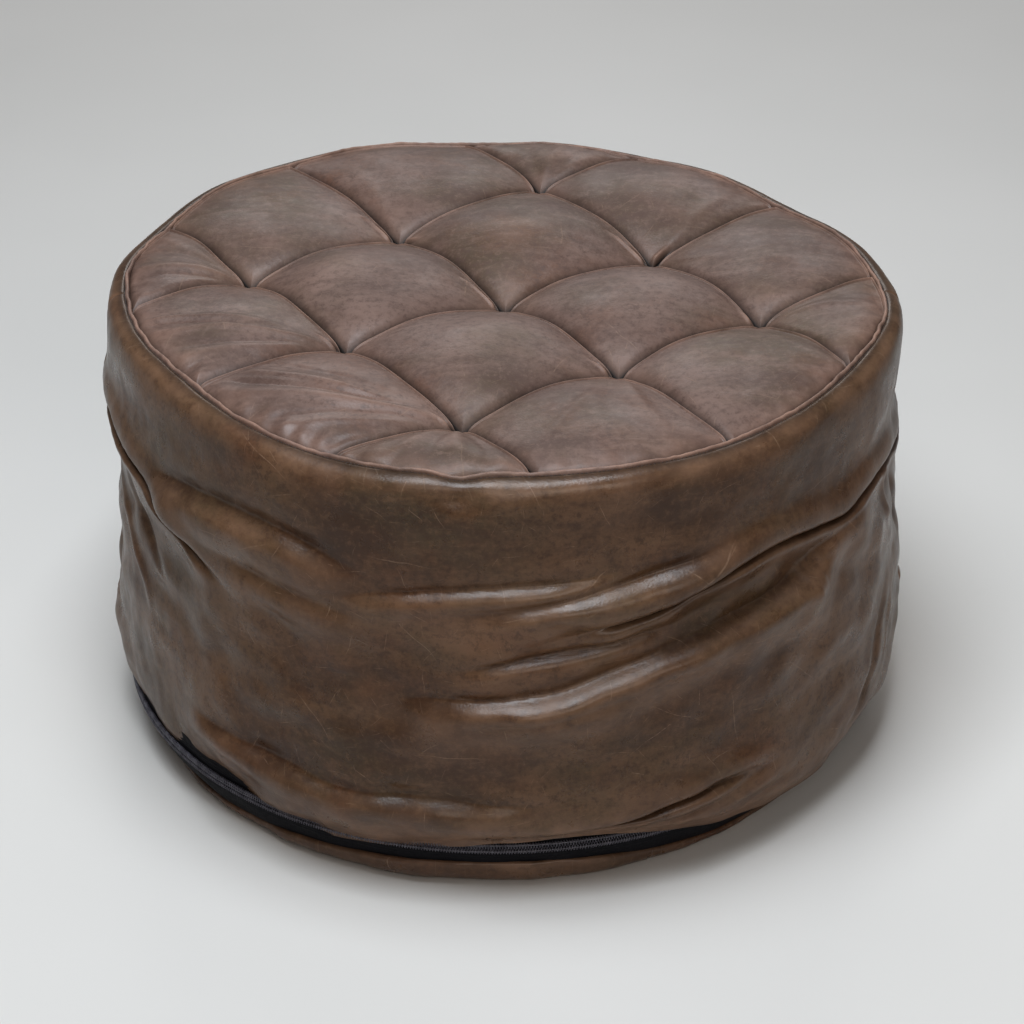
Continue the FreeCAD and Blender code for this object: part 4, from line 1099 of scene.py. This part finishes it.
def side_seam_threads(section):
    """Thread along the band's two upright seams, in the tuck between the halves."""
    parts = []
    for az in (0.0, 180.0):
        line = side_surface(np.array([az]), section)[0][:, 0]
        line = line[(line[:, 2] < RIM_Z - 8) & (line[:, 2] > 34)]
        inward = -np.array([np.cos(np.radians(az)), np.sin(np.radians(az)), 0])
        for start, end in zip(line[:-2:2], line[2::2]):
            parts.append(stitch(start + 2.6 * inward, start + 0.8 * (end - start) + 2.6 * inward, -inward))
    piece = mesh_piece("side_seam_threads", *joined(parts), THREAD)
    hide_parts("side_seam_stitching")


def twines():
    """The nine twines, each from its tuft down to a knot under its washer."""
    low = corners_mm("tuft_twines")[0][2]
    parts = []
    for i, j in TUFT_SHIFTS:
        top = grid_point(i, j) - [0, 0, 6]
        x, y = turn(i * TUFT_PITCH, j * TUFT_PITCH, TUFT_TURN)
        height = np.linspace(0, 1, 24)[:, None]
        foot = np.array([x, y, low + 4])
        parts.append(tube(foot + (top - foot) * height, 1.0, sides=8))
        loop = np.linspace(0, 2 * np.pi, 20, endpoint=False)
        bow = np.stack([1.6 * np.cos(loop), 1.6 * np.sin(loop), 0.8 * np.sin(2 * loop)], axis=-1)
        knot = bow + [x, y, low + 2.4]
        parts.append(tube(knot, 1.2, sides=8, closed=True))
    piece = mesh_piece("tuft_twine_set", *joined(parts), TWINE)
    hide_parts("tuft_twines")


CAD_FINISHES = {
    "zip_slider": METAL, "zip_pull": METAL,
    "zip_stops_upper": METAL, "zip_stops_lower": METAL, "tuft_washers": WASHER,
}


def finish_cad_nodes():
    """Gives the CAD nodes that stay their materials."""
    for name, material in CAD_FINISHES.items():
        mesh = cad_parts[name].data
        if not mesh.materials:
            mesh.materials.append(material)
        for k in range(len(mesh.materials)):
            mesh.materials[k] = material


# --- Stage -----------------------------------------------------------------------------------------------

def pale_floor():
    s = Shader("pale_floor")
    haze = s.noise(1.3, detail=3.0)
    color = s.ramp(haze, (0.3, (0.61, 0.585, 0.55)), (0.7, (0.66, 0.63, 0.595)))
    s.finish(color, 0.55, s.bump(s.noise(240.0, detail=3.0), 0.05, 0.0005))
    side = 12.0
    mesh = bpy.data.meshes.new("floor")
    corners = [(-side, -side, 0), (side, -side, 0), (side, side, 0), (-side, side, 0)]
    mesh.from_pydata(corners, [], [(0, 1, 2, 3)])
    mesh.materials.append(s.material)
    floor = bpy.data.objects.new("floor", mesh)
    bpy.context.scene.collection.objects.link(floor)


# Studio lamps: name, place and aim in metres, width, depth, watts and colour.
LAMPS = (
    ("overhead", (-0.20, -0.50, 2.45), (0, 0, 0.2), 1.1, 1.6, 64, (0.84, 0.92, 1.0)),
    ("back_wall", (0.1, 3.4, 2.1), (0, 0, 0.3), 2.2, 1.4, 27, (0.98, 0.97, 0.96)),
    ("front_fill", (0.6, -3.0, 2.0), (0, 0, 0.2), 2.4, 1.4, 32, (1.0, 0.93, 0.87)),
)


def area_light(name, place, aim, width, depth, watts, color):
    light = bpy.data.lights.new(name, "AREA")
    light.shape = "RECTANGLE"
    light.size, light.size_y = width, depth
    light.energy = watts
    light.color = color
    lamp = bpy.data.objects.new(name, light)
    lamp.location = place
    lamp.rotation_euler = (Vector(aim) - Vector(place)).to_track_quat("-Z", "Y").to_euler()
    bpy.context.scene.collection.objects.link(lamp)


def lights():
    """A dim cool sky and the studio lamps."""
    world = bpy.data.worlds.new("studio")
    bpy.context.scene.world = world
    world.use_nodes = True
    sky = world.node_tree.nodes["Background"]
    sky.inputs["Color"].default_value = (0.93, 0.95, 1.0, 1)
    sky.inputs["Strength"].default_value = 0.14
    for lamp in LAMPS:
        area_light(*lamp)


def camera():
    """The view from the front, looking down."""
    lens, sensor, looks_down = 109.9, 36.0, 30.05
    data = bpy.data.cameras.new("view")
    data.lens = lens
    data.sensor_width = sensor
    eye = bpy.data.objects.new("view", data)
    eye.location = (0.0107, -2.078, 1.350)
    eye.rotation_euler = (np.radians(90 - looks_down), 0, 0)
    bpy.context.scene.collection.objects.link(eye)
    bpy.context.scene.camera = eye


camera()
lights()
pale_floor()
bpy.context.scene.view_settings.view_transform = "Standard"
bpy.context.scene.view_settings.gamma = 0.88
bpy.context.scene.view_settings.exposure = 0.12

top_panels()
rim_lip()
rim_topstitching()
side_panels()
base_panel()
zip_tapes()
hinge_leather()
coil("zip_coil_on_base", "zip_coil_lower", "base_flap", -1)
coil("zip_coil_on_band", "zip_coil_upper", "cover", 1)
stuffed_insert()
quilted_pad()
backing()
twines()
finish_cad_nodes()
